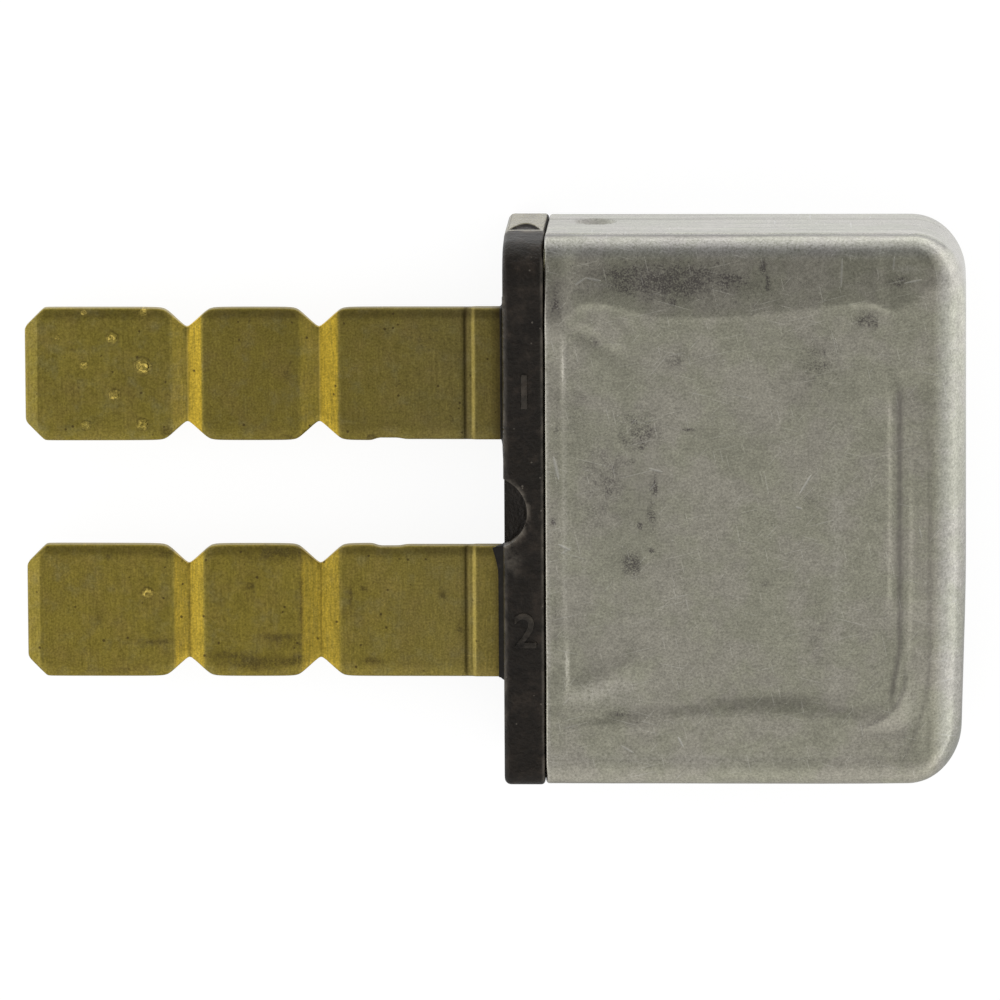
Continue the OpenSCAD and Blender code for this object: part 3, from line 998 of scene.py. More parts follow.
def hill(t, middle, radius):
    return np.exp(-((t - middle) / radius) ** 2)


def fold(u, v, start, end, height, near_width, far_width):
    """Height of a straight soft fold that widens from its start and fades at both ends."""
    start, end = np.array(start), np.array(end)
    along = end - start
    t = np.clip(((u - start[0]) * along[0] + (v - start[1]) * along[1]) / (along @ along), 0, 1)
    away = np.hypot(u - start[0] - t * along[0], v - start[1] - t * along[1])
    fade = smoothstep(-0.05, 0.2, t) * (1 - smoothstep(0.6, 1.0, t))
    return height * fade * np.exp(-(away / (near_width + (far_width - near_width) * t)) ** 2)


def corner_arc(u, v):
    """Direction round the corner between the panel and the closed end, and distance past its arc."""
    turn = np.arctan2(v + 6.4, u - 11.6)
    return turn, np.hypot(u - 11.6, v + 6.4) - 2.12 - 0.12 * np.cos(2 * turn)


def corner_dent(u, v):
    """The flattened crescent that runs round that corner."""
    turn, past = corner_arc(u, v)
    width = 0.12 + 0.75 * np.exp(-((turn + 0.62) / 0.42) ** 2)
    into = smoothstep(0, 1, past / width) * 0.5 + 0.5 * np.clip(past / width, 0, 1)
    return -0.16 * width * window(-1.25, -0.05, 0.2, turn) * into * (1 - smoothstep(14.2, 15.6, u))


# Steps across the front face: height, start and end of the slope, then the span and softness across.
# The beads stand between the panel and the closed end, and the low rise in the panel.
CAN_BEADS = [
    (0.05, 13.1, 13.32, -3.8, 4.6, 0.9), (-0.03, 13.5, 13.75, -7.0, 5.2, 0.7),
    (0.05, 13.92, 14.16, -6.2, 1.6, 1.6)
]
CAN_RISE = [(0.014, 11.0, 11.35, -7.0, 5.0, 0.8), (-0.014, 11.5, 12.9, -7.0, 5.0, 0.8)]


def add_steps(height, u, v, steps):
    """Adds the steps to an array of heights, in place."""
    for rise, start, end, low, high, soft in steps:
        height += rise * smoothstep(start, end, u) * window(low, high, soft, v)


def front_relief(u, v, settings):
    """Height of the pressed front face; u runs from the open end and v across, in millimetres."""
    panel = settings.panel_depth / MM
    top, bottom = edge_line(u, PANEL_TOP), edge_line(u, PANEL_BOTTOM)
    height = np.full_like(u, -panel)
    # The crowned band above the panel starts at a sharp fold.
    over = np.clip(v - top, 0, None)
    span = HALF_WIDTH - settings.upper_radius / MM - 7.7
    height -= settings.crown / MM * (0.65 * over / span + 0.35 * (over / span) ** 2)
    lip = 0.005 + 0.024 * hill(u, 1.8, 0.9) + 0.02 * hill(u, 12.5, 0.8)
    above = smoothstep(-0.2, -0.02, v - top) * (1 - smoothstep(0.2, 1.4, v - top))
    height += lip * above * window(0.7, 13.2, 0.15, u)
    # The panel's lower wall rises softly to the rim.
    middle = window(5.6, 11.6, 1.4, u)
    rise = (0.34 + 0.3 * hill(u, 2.7, 0.8) + 0.7 * middle) * window(0.8, 13.4, 0.3, u)
    height += panel * rise * smoothstep(-0.1 - 0.25 * middle, 0.3 + 0.15 * middle, bottom - v)
    height -= 0.01 * np.clip(bottom - 0.6 - v, 0, None)
    # A low rim at the open end, with a bright step beside the panel.
    step = 0.022 + 0.034 * hill(v, 5.7, 1.1) + 0.03 * hill(v, -6.0, 0.8)
    rim = 0.66 + 0.14 * smoothstep(-2, -6, v) * smoothstep(-7.6, -6.6, v)
    height -= step * (1 - smoothstep(rim - 0.07, rim + 0.07, u)) * window(-7.8, 6.9, 0.3, v)
    add_steps(height, u, v, CAN_BEADS)
    height += 0.02 * hill(u, 14.55, 0.1) * window(-3.0, 2.5, 1.0, v)
    height += corner_dent(u, v)
    # Folds that run in from the panel's corners.
    height += fold(u, v, (0.8, 7.35), (3.6, 5.6), -0.034, 0.2, 0.5)
    height += fold(u, v, (0.75, -7.15), (4.2, -5.4), 0.05, 0.32, 0.75)
    # Soft unevenness of the thin sheet.
    add_steps(height, u, v, CAN_RISE)
    height -= 0.016 * np.exp(-((u - 3.4) / 1.6) ** 2 - ((v - 0.4) / 3.0) ** 2)
    height += 0.005 * np.sin(1.1 * u + 0.4) * np.sin(0.9 * v + 1.3)
    height += 0.003 * np.sin(2.7 * u + 1.1) * np.sin(2.2 * v)
    return height


def back_relief(u, v, settings):
    """The pressing on the face that lies down, plainer than the front."""
    inside = window(0.7, 13.5, 0.2, u) * window(-7.8, 7.8, 0.25, v)
    height = -2 * settings.panel_depth / MM * inside
    height += 0.03 * hill(u, 14.1, 0.25) * window(-7, 6, 1.0, v)
    height += fold(u, v, (0.9, 7.2), (3.4, 5.9), 0.04, 0.2, 0.4)
    height += fold(u, v, (0.9, -7.2), (3.0, -6.0), 0.04, 0.2, 0.4)
    return height + 0.006 * np.sin(0.9 * u + 2.0) * np.sin(0.8 * v)


def can_mesh(settings):
    """The drawn can: one closed shell with its outside, lip, inside and closed end."""
    wall, lip = settings.wall / MM, settings.lip_radius / MM
    plan, end = settings.plan_radius / MM, settings.end_radius / MM
    edge, upper = settings.edge_radius / MM, settings.upper_radius / MM
    sides, arc = (26, 60, 34, 210), 9

    def half_sizes(distance, inset):
        length = CAN_LENGTH - inset
        halves = []
        for half, radius in ((HALF_WIDTH - inset, plan - inset), (HALF_THICK - inset, end - inset)):
            past = max(distance - (length - radius), 0)
            halves.append(half - radius + math.sqrt(max(radius ** 2 - past ** 2, 0)))
        return halves

    def ring(distance, inset, flare_y, flare_z):
        half_y, half_z = half_sizes(distance, inset)
        late = float(smoothstep(CAN_LENGTH - plan, CAN_LENGTH, distance))
        radii = [max(r - inset, 0.15) for r in (edge, upper, edge, edge)]
        radii = [r + (max(1.25 - inset, 0.4) - r) * late for r in radii]
        outline = rectangle(half_y + flare_y, half_z + flare_z)
        return rounded_outline([outline[3], *outline[:3]], [radii[3], *radii[:3]], sides, arc)

    lip_at = lip * (1 - np.cos(np.linspace(0, math.pi / 2, 7)))
    body = np.linspace(lip, CAN_LENGTH - plan, 165)[1:]
    bend = CAN_LENGTH - plan * (1 - np.sin(np.linspace(0, math.pi / 2, 30)[1:]))
    outer_at = np.concatenate([lip_at, body, bend])
    outer = [ring(d, 0.0, -quarter_round(d, lip), -quarter_round(d, 0.1)) for d in outer_at]
    inner_at = np.concatenate([
        [0.0, 0.03, 0.1], np.linspace(0.4, CAN_LENGTH - plan, 12),
        CAN_LENGTH - wall - (plan - wall) * (1 - np.sin(np.linspace(0.1, math.pi / 2, 8)))
    ])
    inner = [ring(d, wall, quarter_round(d, 0.1), quarter_round(d, 0.1)) for d in inner_at]
    outside = along_x(outer, CAN_MOUTH + outer_at)
    press_can(outside, outer_at, settings)
    inside = along_x(inner, CAN_MOUTH + inner_at)[::-1]
    return loft("can_shell", np.concatenate([inside, outside]))


# Height of a stake's middle, and of the painted shade that darkens it a little lower down.
STAKE_Z, STAKE_GRIME_Z = -1.15, -1.3


def press_can(points, distance, settings):
    """Presses the panels into the broad faces and the stakes into the narrow sides."""
    edge, upper = settings.edge_radius / MM, settings.upper_radius / MM
    y, z = points[..., 1].copy(), points[..., 2].copy()
    u = np.minimum(distance[:, None] + 0 * y, CAN_LENGTH - settings.end_radius / MM + 0.05)
    u = u + CAN_MOUTH - CAN_LOW[0]
    v = np.clip(y, -(HALF_WIDTH - edge), HALF_WIDTH - upper)
    # The faces' heights slide down the walls that stand on them.
    front_share = smoothstep(0.4, HALF_THICK - upper - 0.3, z)
    back_share = smoothstep(0.4, HALF_THICK - edge - 0.3, -z)
    closing = 1 - smoothstep(CAN_LENGTH - 0.25, CAN_LENGTH, distance)[:, None]
    points[..., 2] += front_relief(u, v, settings) * front_share * closing
    points[..., 2] -= back_relief(u, v, settings) * back_share * closing

    radius, deep = settings.stake_diameter / MM / 2, settings.stake_depth / MM
    ball = (radius ** 2 + deep ** 2) / (2 * deep)
    away = np.hypot(distance[:, None] - settings.stake_at / MM, z - STAKE_Z)
    into = np.sqrt(np.clip(ball ** 2 - away ** 2, 0, None)) - (ball - deep)
    on_side = np.abs(y) > HALF_WIDTH - 0.4
    near = on_side & (away < radius + 0.5)
    points[..., 1] -= np.sign(y) * np.where(near, soft_clip(into, 0.03), 0)
    # The closed end leans in a little towards its -Y corner.
    points[..., 0] -= 0.17 * smoothstep(-1.5, -10.0, y) * smoothstep(9.0, 15.5, distance)[:, None]
    # A fine line runs along the narrow side where its flat part ends.
    score = 0.06 * hill(z, 3.0, 0.14) + 0.02 * hill(z, -1.9, 0.12)
    points[..., 1] -= np.sign(y) * np.where(on_side, score, 0) * closing


# Stains on the front face: middle, radius along and across, strength.
CAN_STAINS = [
    (3.65, 2.68, 0.16, 0.42, 1.0), (2.96, 2.9, 0.3, 0.4, 0.5), (3.35, 2.06, 0.13, 0.13, 0.9),
    (4.19, 1.07, 0.15, 0.5, 0.85), (4.05, 0.2, 0.3, 1.4, 0.5), (4.04, -1.4, 0.14, 0.13, 1.0),
    (3.3, -2.0, 0.42, 0.5, 0.75), (3.46, -1.93, 0.16, 0.22, 1.2), (3.62, -0.47, 0.1, 0.18, 0.8),
    (0.27, -0.32, 0.16, 0.18, 1.0), (5.5, 3.24, 0.32, 0.07, 0.75), (3.7, 3.2, 1.0, 1.0, 0.5),
    (2.4, 1.2, 1.6, 2.6, 0.36), (5.0, 6.0, 0.6, 0.5, 0.4), (10.2, 0.6, 0.35, 0.6, 0.36),
    (8.4, -2.7, 0.2, 0.16, 0.5), (12.35, 7.45, 0.5, 0.42, 0.7), (10.5, 5.8, 1.0, 1.5, 0.38),
    (8.4, 9.5, 0.16, 0.34, 1.0), (8.54, 8.9, 0.09, 0.38, 0.95), (4.7, 8.97, 2.5, 0.7, 0.85),
    (3.4, 9.3, 1.8, 0.4, 0.6), (6.6, 9.0, 1.8, 0.6, 0.6), (4.9, 8.2, 0.15, 0.17, 0.95),
    (0.4, 8.3, 0.36, 1.0, 0.55), (1.8, 6.7, 0.8, 0.28, 0.4), (13.6, 9.0, 0.6, 0.36, 0.5),
    (10.4, -4.6, 0.6, 1.6, 0.3), (8.7, -7.2, 1.5, 0.3, 0.3), (2.9, -7.8, 0.8, 0.2, 0.5),
    (3.4, -8.1, 1.6, 0.25, 0.3), (1.2, 4.2, 0.6, 2.0, 0.3), (0.4, 2.5, 0.25, 3.0, 0.34),
    (0.35, -4.5, 0.2, 2.5, 0.3),
]

# Soft dull smudges on the front face: middle, radius along and across, strength.
CAN_SMUDGES = [
    (3.7, 1.1, 0.9, 2.3, 0.17), (3.6, 2.8, 0.7, 0.7, 0.12), (8.8, -7.3, 2.3, 0.27, 0.34),
    (4.4, -7.65, 2.2, 0.2, 0.16), (12.0, -7.6, 1.4, 0.2, 0.2), (10.3, 5.0, 1.1, 2.2, 0.1),
    (0.3, 8.0, 0.5, 1.1, 0.22), (3.4, -1.95, 0.4, 0.4, 0.15), (1.0, -4.6, 1.0, 1.6, 0.07),
    (8.0, 3.0, 1.6, 1.2, 0.05), (13.0, -8.6, 1.2, 0.5, 0.08), (13.4, 8.9, 0.9, 0.6, 0.12),
]

# Places painted lighter on it, some real scuffs and some painted highlights along its lip, long edges
# and steps: middle, radius along and across, strength.
CAN_RUBS = [
    (11.2, -0.8, 0.25, 5.6, 0.3), (13.9, 9.45, 0.5, 0.14, 0.6), (2.0, -7.0, 1.7, 0.55, 0.34),
    (0.72, 0.0, 0.08, 4.6, 0.4), (0.72, 5.6, 0.09, 1.2, 0.6), (0.78, -6.0, 0.1, 0.9, 0.6),
    (0.04, 0.0, 0.09, 30.0, 0.8), (0.4, 10.2, 0.5, 0.3, 0.8), (0.1, -9.8, 0.4, 0.4, 0.5),
    (2.0, 8.85, 0.45, 0.1, 0.5), (14.0, -7.6, 0.35, 0.9, 0.3), (5.0, -9.6, 5.5, 0.3, 0.35),
    (7.0, 10.25, 9.0, 0.25, 0.75),
]


def ovals(u, v, marks):
    """The strongest of several soft oval marks at each point."""
    total = np.zeros_like(u)
    for mu, mv, ru, rv, strength in marks:
        total = np.maximum(total, strength * np.exp(-((u - mu) / ru) ** 2 - ((v - mv) / rv) ** 2))
    return total


class BREAKER_OT_can(bpy.types.Operator):
    """Builds the drawn aluminium can with its pressed faces, folds, stakes and stains"""
    bl_idname = "breaker.can"
    bl_label = "Build the can"

    def execute(self, context):
        settings = context.scene.breaker_can
        can = can_mesh(settings)
        x, v, z = points_mm(can).T
        u = x - CAN_LOW[0]
        front = smoothstep(HALF_THICK - 1.2, HALF_THICK - 0.6, z)
        above = v - edge_line(u, PANEL_TOP)
        band = smoothstep(-0.1, 0.5, above) * (1 - smoothstep(9.9, 10.3, v))
        specks = band * (0.45 + 0.55 * hill(u, 4.8, 2.8) * hill(v, 9.0, 0.9))
        specks = specks * (1 - 0.4 * smoothstep(9.0, 14.0, u))
        bend = 0.32 * smoothstep(-5.0, -7.4, v)
        outer_line = 14.75 - 0.06 * np.clip(-5.5 - v, 0, None) ** 2
        turn, past = corner_arc(u, v)
        # Painted shade along the beads, the line near the closed end, the corner arc and the fold
        # above the panel, darker lines along the lower long edge, and soft dull smudges.
        grime = sum([
            0.6 * hill(u + bend, 13.6, 0.12) * window(-7.3, 4.9, 0.5, v),
            0.3 * hill(u, outer_line, 0.09) * window(-9.6, 3.0, 0.5, v),
            0.45 * hill(past, -0.02, 0.07) * window(-1.3, 0.1, 0.15, turn),
            0.16 * band * (1 - smoothstep(0.0, 0.6, above)),
            0.17 * hill(v, -9.62, 0.12) * window(0.6, 13.8, 0.6, u),
            0.3 * hill(v, -10.62, 0.06) * window(0.4, 13.0, 0.8, u),
            ovals(u, v, CAN_SMUDGES),
        ])
        side = smoothstep(HALF_WIDTH - 0.6, HALF_WIDTH - 0.4, np.abs(v))
        stake = np.hypot(x - CAN_MOUTH - settings.stake_at / MM, z - STAKE_GRIME_Z)
        # Painted shade in the fine score lines along the narrow sides and in the stake.
        side_grime = 0.6 * hill(z, 3.05, 0.28) + 0.2 * hill(z, -1.9, 0.14)
        side_grime = side_grime + 0.75 * hill(stake, 0, 0.5)
        # The rounded +Y long edge and the closed end get the painted highlight tint.
        corner_y = smoothstep(HALF_WIDTH - 0.95, HALF_WIDTH - 0.5, v)
        corner_x = smoothstep(-1.3, -0.8, x - CAN_HIGH[0])
        paint(
            can, burnish=np.maximum(corner_y, corner_x), stain=ovals(u, v, CAN_STAINS) * front,
            rub=ovals(u, v, CAN_RUBS) * front, specks=np.clip(specks + 0.12, 0, 1) * front,
            grime=np.clip(grime, 0, 0.8) * front + side * side_grime
        )
        smooth_shading(can)
        dress(can, aluminium_finish(settings), "housing", "can", "can")
        return {"FINISHED"}


# ---------------------------------------------------------------- the base

# Clearance round a terminal in its slot.
SLOT_GAP = 0.04


def base_mesh(settings):
    """The moulding: flange, plug and the cuts in them, with its cut edges softened."""
    edge, lip = settings.edge_radius / MM, settings.lip_radius / MM
    corner, parting = settings.corner_radius / MM, settings.draft_from / MM
    slope = (HALF_THICK - parting) * math.tan(settings.draft)
    outline = [
        (HALF_WIDTH, -HALF_THICK), (HALF_WIDTH, parting), (HALF_WIDTH - slope, HALF_THICK),
        (-HALF_WIDTH, HALF_THICK), (-HALF_WIDTH, -HALF_THICK)
    ]
    radii = (corner, 0.12, settings.front_radius / MM, corner, corner)
    quarter = np.linspace(0, math.pi / 2, 7)
    stations = [(d, float(quarter_round(d, edge))) for d in edge * (1 - np.cos(quarter))]
    stations += [(d, 0.0) for d in np.linspace(edge, FLANGE - lip, 8)[1:-1]]
    stations += [
        (FLANGE - d, float(quarter_round(d, lip))) for d in lip * (1 - np.sin(quarter))
    ]

    def ring(corners, inset, rounding):
        inner = shrunk(corners, inset)
        ordered = [inner[-1], *inner[:-1]]
        rounds = [max(r - inset, 0.02) for r in (rounding[-1], *rounding[:-1])]
        return rounded_outline(ordered, rounds, (90, 34, 20, 16, 90), 6)

    rings = [ring(outline, inset, radii) for _, inset in stations]
    at = [d for d, _ in stations]
    # The plug fits in the can, clear of its walls and pressed panels.
    plug_y, plug_z = HALF_WIDTH - 0.55, HALF_THICK - 0.67
    plug = [
        (plug_y, -plug_z), (plug_y, 0.5), (plug_y - 0.001, plug_z), (-plug_y, plug_z),
        (-plug_y, -plug_z)
    ]
    plug_radii = (0.15, 0.02, 0.15, 0.15, 0.15)
    for d, inset in ((FLANGE, 0.0), (PLUG_END - 0.15, 0.0), (PLUG_END, 0.12)):
        rings.append(ring(plug, inset, plug_radii))
        at.append(d)
    base = loft("base_moulding", along_x(rings, at))

    radius, reach = settings.notch_radius / MM, settings.notch_reach / MM
    notch = round_cutter(
        reach - radius, 0, HALF_THICK - settings.notch_depth / MM, HALF_THICK + 1, radius, 96
    )
    # The gate runs out to a point in a rounded arc, widest and deepest at the parting line.
    wide, deep = settings.gate_width / MM / 2, settings.gate_depth / MM
    gate = oval_cutter(FLANGE / 2, HALF_WIDTH, [
        (parting - 0.35 - settings.gate_length / MM * (1 - share ** 2), share * wide, share * deep)
        for share in np.linspace(0.04, 1, 14)
    ])
    half = bpy.context.scene.breaker_blade.width / MM / 2 + SLOT_GAP
    thick = STOCK_THICK / 2 + SLOT_GAP
    slots = [
        box_cutter(
            (-1, side * BLADE_Y - half, BLADE_Z - thick),
            (PLUG_END + 1, side * BLADE_Y + half, BLADE_Z + thick)
        )
        for side in (-1, 1)
    ]
    cut(base, [notch, gate, *slots])
    add_modifier(
        base, "BEVEL", width=0.04 * MM, segments=2, limit_method="ANGLE",
        angle_limit=math.radians(38), use_clamp_overlap=True
    )
    apply_modifiers(base)
    return base


def numeral(text, y, settings):
    """A raised plain numeral on the flange's front face, read from the side of the blades' tips."""
    curve = bpy.data.curves.new("numeral", "FONT")
    curve.body = text
    curve.align_x, curve.align_y = "CENTER", "CENTER"
    curve.size = settings.numeral_height * 1.4
    curve.extrude = settings.numeral_relief
    curve.bevel_depth = 0.025 * MM
    curve.bevel_resolution = 1
    curve.resolution_u = 6
    shape = bpy.data.objects.new("numeral", curve)
    bpy.context.scene.collection.objects.link(shape)
    depsgraph = bpy.context.evaluated_depsgraph_get()
    mesh = bpy.data.meshes.new_from_object(shape.evaluated_get(depsgraph))
    discard(shape)
    mesh.transform(Matrix.Translation((0.83 * MM, y * MM, HALF_THICK * MM)))
    return tidy_object(f"numeral_{text}", mesh)


class BREAKER_OT_base(bpy.types.Operator):
    """Builds the black moulded base with its notch, its mould gate and its raised numerals"""
    bl_idname = "breaker.base"
    bl_label = "Build the base"

    def execute(self, context):
        settings = context.scene.breaker_base
        base = base_mesh(settings)
        x, y, z = points_mm(base).T
        rim = np.hypot(x - (settings.notch_reach - settings.notch_radius) / MM, y)
        parting = settings.draft_from / MM
        # Painted highlights along the notch's rim and the flange's front edges, a real dusty patch
        # under the notch, and a lighter line at the parting.
        worn = np.maximum.reduce([
            hill(rim, settings.notch_radius / MM, 0.07) * (z > HALF_THICK - 0.15) * (x > 0.02),
            0.36 * hill(x, FLANGE - 0.05, 0.05) * (z > HALF_THICK - 0.2),
            0.4 * hill(x, 0.04, 0.08) * (z > HALF_THICK - 0.3) * (np.abs(y) < 8.5),
            0.6 * hill(x, 0.3, 0.3) * hill(y, -1.8, 0.5) * (z > HALF_THICK - 0.1),
            hill(z, parting, 0.2) * (y > HALF_WIDTH - 0.2),
        ])
        end_face = (y > HALF_WIDTH - 0.12) & (z < parting - 0.1)
        flange = x < FLANGE + 0.01
        paint(base, worn=np.clip(worn, 0, 1) * flange, smooth=flange * end_face)
        smooth_shading(base)
        material = moulding_finish(settings)
        dress(base, material, "housing", "moulding", "base")
        for text, side in (("1", 1), ("2", -1)):
            mark = numeral(text, side * BLADE_Y, settings)
            # The numerals are painted a little lighter all over.
            paint(mark, worn=np.full(len(mark.data.vertices), 0.2))
            smooth_shading(mark)
            dress(mark, material, "housing", "moulding")
        return {"FINISHED"}


# ---------------------------------------------------------------- the blades

def break_off_grooves(
    geometry=GEOMETRY, first_groove=0.0, second_groove=0.0, first_width=0.0, second_width=0.0,
    groove_depth=0.0, cut_width=0.0, cut_depth=0.0, softness=0.0, shoulder=0.0, middle_y=0.0,
    middle_z=0.0, half_width=0.0, half_thickness=0.0, material=MATERIAL
):
    """Presses the break-off grooves into a flat terminal strip.

    Each groove is a V across both faces with a V cut in both edges at the same place.
    """
    tree = geometry.tree
    x, y, z = split(outcome(tree, "GeometryNodeInputPosition"))
    sharp = 0.00001

    def v_cut(middle, width, depth, soft):
        """Depth of a V with a round root, and with round shoulders of its own softness."""
        away = x - middle
        round_root = math_node("SQRT", scaled(away, away, softness * softness))
        away = scaled(softness, -0.6, round_root)
        deep = depth * (1.0 - away * 2.0 / width)
        return (deep + math_node("SQRT", scaled(deep, deep, soft * soft))) * 0.5

    groove = v_cut(first_groove, first_width, groove_depth, sharp)
    groove = groove + v_cut(second_groove, second_width, groove_depth, sharp)
    edge = v_cut(first_groove, cut_width, cut_depth, shoulder)
    edge = edge + v_cut(second_groove, cut_width, cut_depth, shoulder)
    moved = joined(
        x, scaled(y - middle_y, 1.0 - edge / half_width, middle_y),
        scaled(z - middle_z, 1.0 - groove / half_thickness, middle_z)
    )
    shape = outcome(tree, "GeometryNodeSetPosition", {"Geometry": geometry, "Position": moved})
    shape = outcome(
        tree, "GeometryNodeStoreNamedAttribute",
        {"Geometry": shape, "Name": "grooved", "Value": map_range(groove, sharp, 4 * sharp)},
        data_type="FLOAT", domain="POINT"
    )
    shape = outcome(tree, "GeometryNodeRealizeInstances", {0: shape})
    shape = outcome(tree, "GeometryNodeSetMaterial", {"Geometry": shape, "Material": material})
    return {"Geometry": shape}


def press_grooves(blade, side, settings, material):
    """Presses the grooves and cuts into one strip and keeps the result as its mesh."""
    values = {
        "first_groove": -settings.outer_groove, "second_groove": -settings.inner_groove,
        "first_width": settings.outer_groove_width, "second_width": settings.inner_groove_width,
        "groove_depth": settings.groove_depth, "cut_width": settings.edge_cut_width,
        "cut_depth": settings.edge_cut_depth, "softness": settings.corner_softness,
        "shoulder": settings.shoulder_softness, "middle_y": side * BLADE_Y * MM,
        "middle_z": BLADE_Z * MM, "half_width": settings.width / 2,
        "half_thickness": settings.thickness / 2, "material": material,
    }
    values = {title(name): value for name, value in values.items()}
    tree = node_group(break_off_grooves, "GeometryNodeTree")
    modifier = add_modifier(blade, "NODES", node_group=tree)
    for item in tree.interface.items_tree:
        if item.in_out == "INPUT" and item.name in values:
            modifier[item.identifier] = values[item.name]
    apply_modifiers(blade)


def blade_stations(settings):
    """Distances along a terminal, from its tip (negative) to the end of its tail."""
    tip, tail_end = AUX_LOW[0], AUX_HIGH[0]
    turns = [tip + settings.tip_chamfer / MM, tip + settings.tip_bevel / MM]
    for groove, width in (
        (settings.outer_groove, settings.outer_groove_width),
        (settings.inner_groove, settings.inner_groove_width)
    ):
        middle = -groove / MM
        turns.append(middle)
        for reach in (width / MM / 2, settings.edge_cut_width / MM / 2):
            turns += [middle - reach, middle + reach]
    relief = -settings.relief_length / MM
    turns += [relief, -settings.root / MM - 0.36, -settings.root / MM - 0.1, -settings.root / MM]
    stations = list(tip + 0.12 * (1 - np.cos(np.linspace(0, math.pi / 2, 7))))
    stations += list(np.arange(tip + 0.16, PLUG_END, 0.12))
    stations += [x + d for x in turns for d in (-0.09, -0.06, -0.03, 0.0, 0.03, 0.06, 0.09)]
    stations += [PLUG_END - 0.01, PLUG_END + 0.01, *np.arange(PLUG_END + 0.4, tail_end - 0.8, 0.5)]
    stations += list(tail_end - 0.8 * (1 - np.sin(np.linspace(0, math.pi / 2, 10))))
    return np.unique(np.clip(np.round(stations, 4), tip, tail_end))


def blade_outline(x, settings):
    """Half-widths at the inner and outer edge, and half-thickness, along a terminal."""
    tip, tail_end = AUX_LOW[0], AUX_HIGH[0]
    half, soft = settings.width / MM / 2, settings.corner_softness / MM
    root = -settings.root / MM
    thick = np.full_like(x, settings.thickness / MM / 2)
    thick += (STOCK_THICK - settings.thickness / MM) / 2 * smoothstep(root - 0.15, root + 0.03, x)
    thick -= 0.035 * hill(x, root - 0.34, 0.09)
    lost = (settings.thickness - settings.tip_thickness) / MM / 2
    thick -= lost * np.clip(1 - (x - tip) / (settings.tip_bevel / MM), 0, 1)
    thick -= quarter_round(x - tip, 0.1)
    cuts = soft_clip(settings.tip_chamfer / MM - (x - tip), 0.6 * soft) + quarter_round(x - tip, 0.12)
    from_relief = x + settings.relief_length / MM
    relief = settings.inner_relief / MM * (
        smoothstep(-0.2, 0.25, from_relief) - 0.55 * smoothstep(0.85, 1.3, from_relief)
    )
    in_tail = x > PLUG_END
    from_end = np.clip(0.8 - (tail_end - x), 0, 0.8)
    tail_half = TAIL_WIDTH / 2 - (0.8 - np.sqrt(0.64 - from_end ** 2))
    inner = np.where(in_tail, tail_half, half - cuts - relief)
    outer = np.where(in_tail, tail_half, half - cuts)
    return inner, outer, thick


def blade_section(inner, outer, thick, settings):
    """Points round the blade: a rolled-over front face, sheared sides, a sharp back face."""
    roll, drop = settings.die_roll / MM, settings.roll_drop / MM
    inward = np.array([0.0, 0.015, 0.04, 0.08, 0.14, 0.21, 0.3, 0.4, 0.5, 0.62])
    fall = drop * np.clip(1 - inward / roll, 0, 1) ** 2
    fall += 0.035 * np.clip(1 - inward / 0.04, 0, 1) ** 2
    soft = np.minimum(thick / (settings.thickness / MM / 2), 1)
    low, high = -inner + inward[-1], outer - inward[-1]
    back_edge = [(0.04, 0.0), (0.012, 0.012), (0.0, 0.035)]
    columns = [(-inner + d, thick - f * soft) for d, f in zip(inward, fall)]
    columns += [(low + (high - low) * t, thick) for t in np.linspace(0, 1, 22)[1:-1]]
    columns += [(outer - d, thick - f * soft) for d, f in zip(inward[::-1], fall[::-1])]
    columns += [(outer, thick * share) for share in (0.5, 0.0, -0.5)]
    columns += [(outer - d, -thick + f * soft) for d, f in back_edge[::-1]]
    columns += [
        ((outer - 0.04) + (0.08 - inner - outer) * t, -thick) for t in np.linspace(0, 1, 14)[1:-1]
    ]
    columns += [(-inner + d, -thick + f * soft) for d, f in back_edge]
    columns += [(-inner, thick * share) for share in (-0.5, 0.0, 0.5)]
    return np.stack([np.stack(column, axis=1) for column in columns], axis=1)


def blade_mesh(name, side, settings):
    x = blade_stations(settings)
    inner, outer, thick = blade_outline(x, settings)
    section = blade_section(inner, outer, thick, settings)
    section[..., 0] = side * (BLADE_Y + section[..., 0])
    # A stamped blade is never quite flat.
    bow = 0.02 * np.sin(0.33 * x + side) * smoothstep(0, -3, x)
    section[..., 1] += BLADE_Z + bow[:, None]
    return loft(name, along_x(section, x))


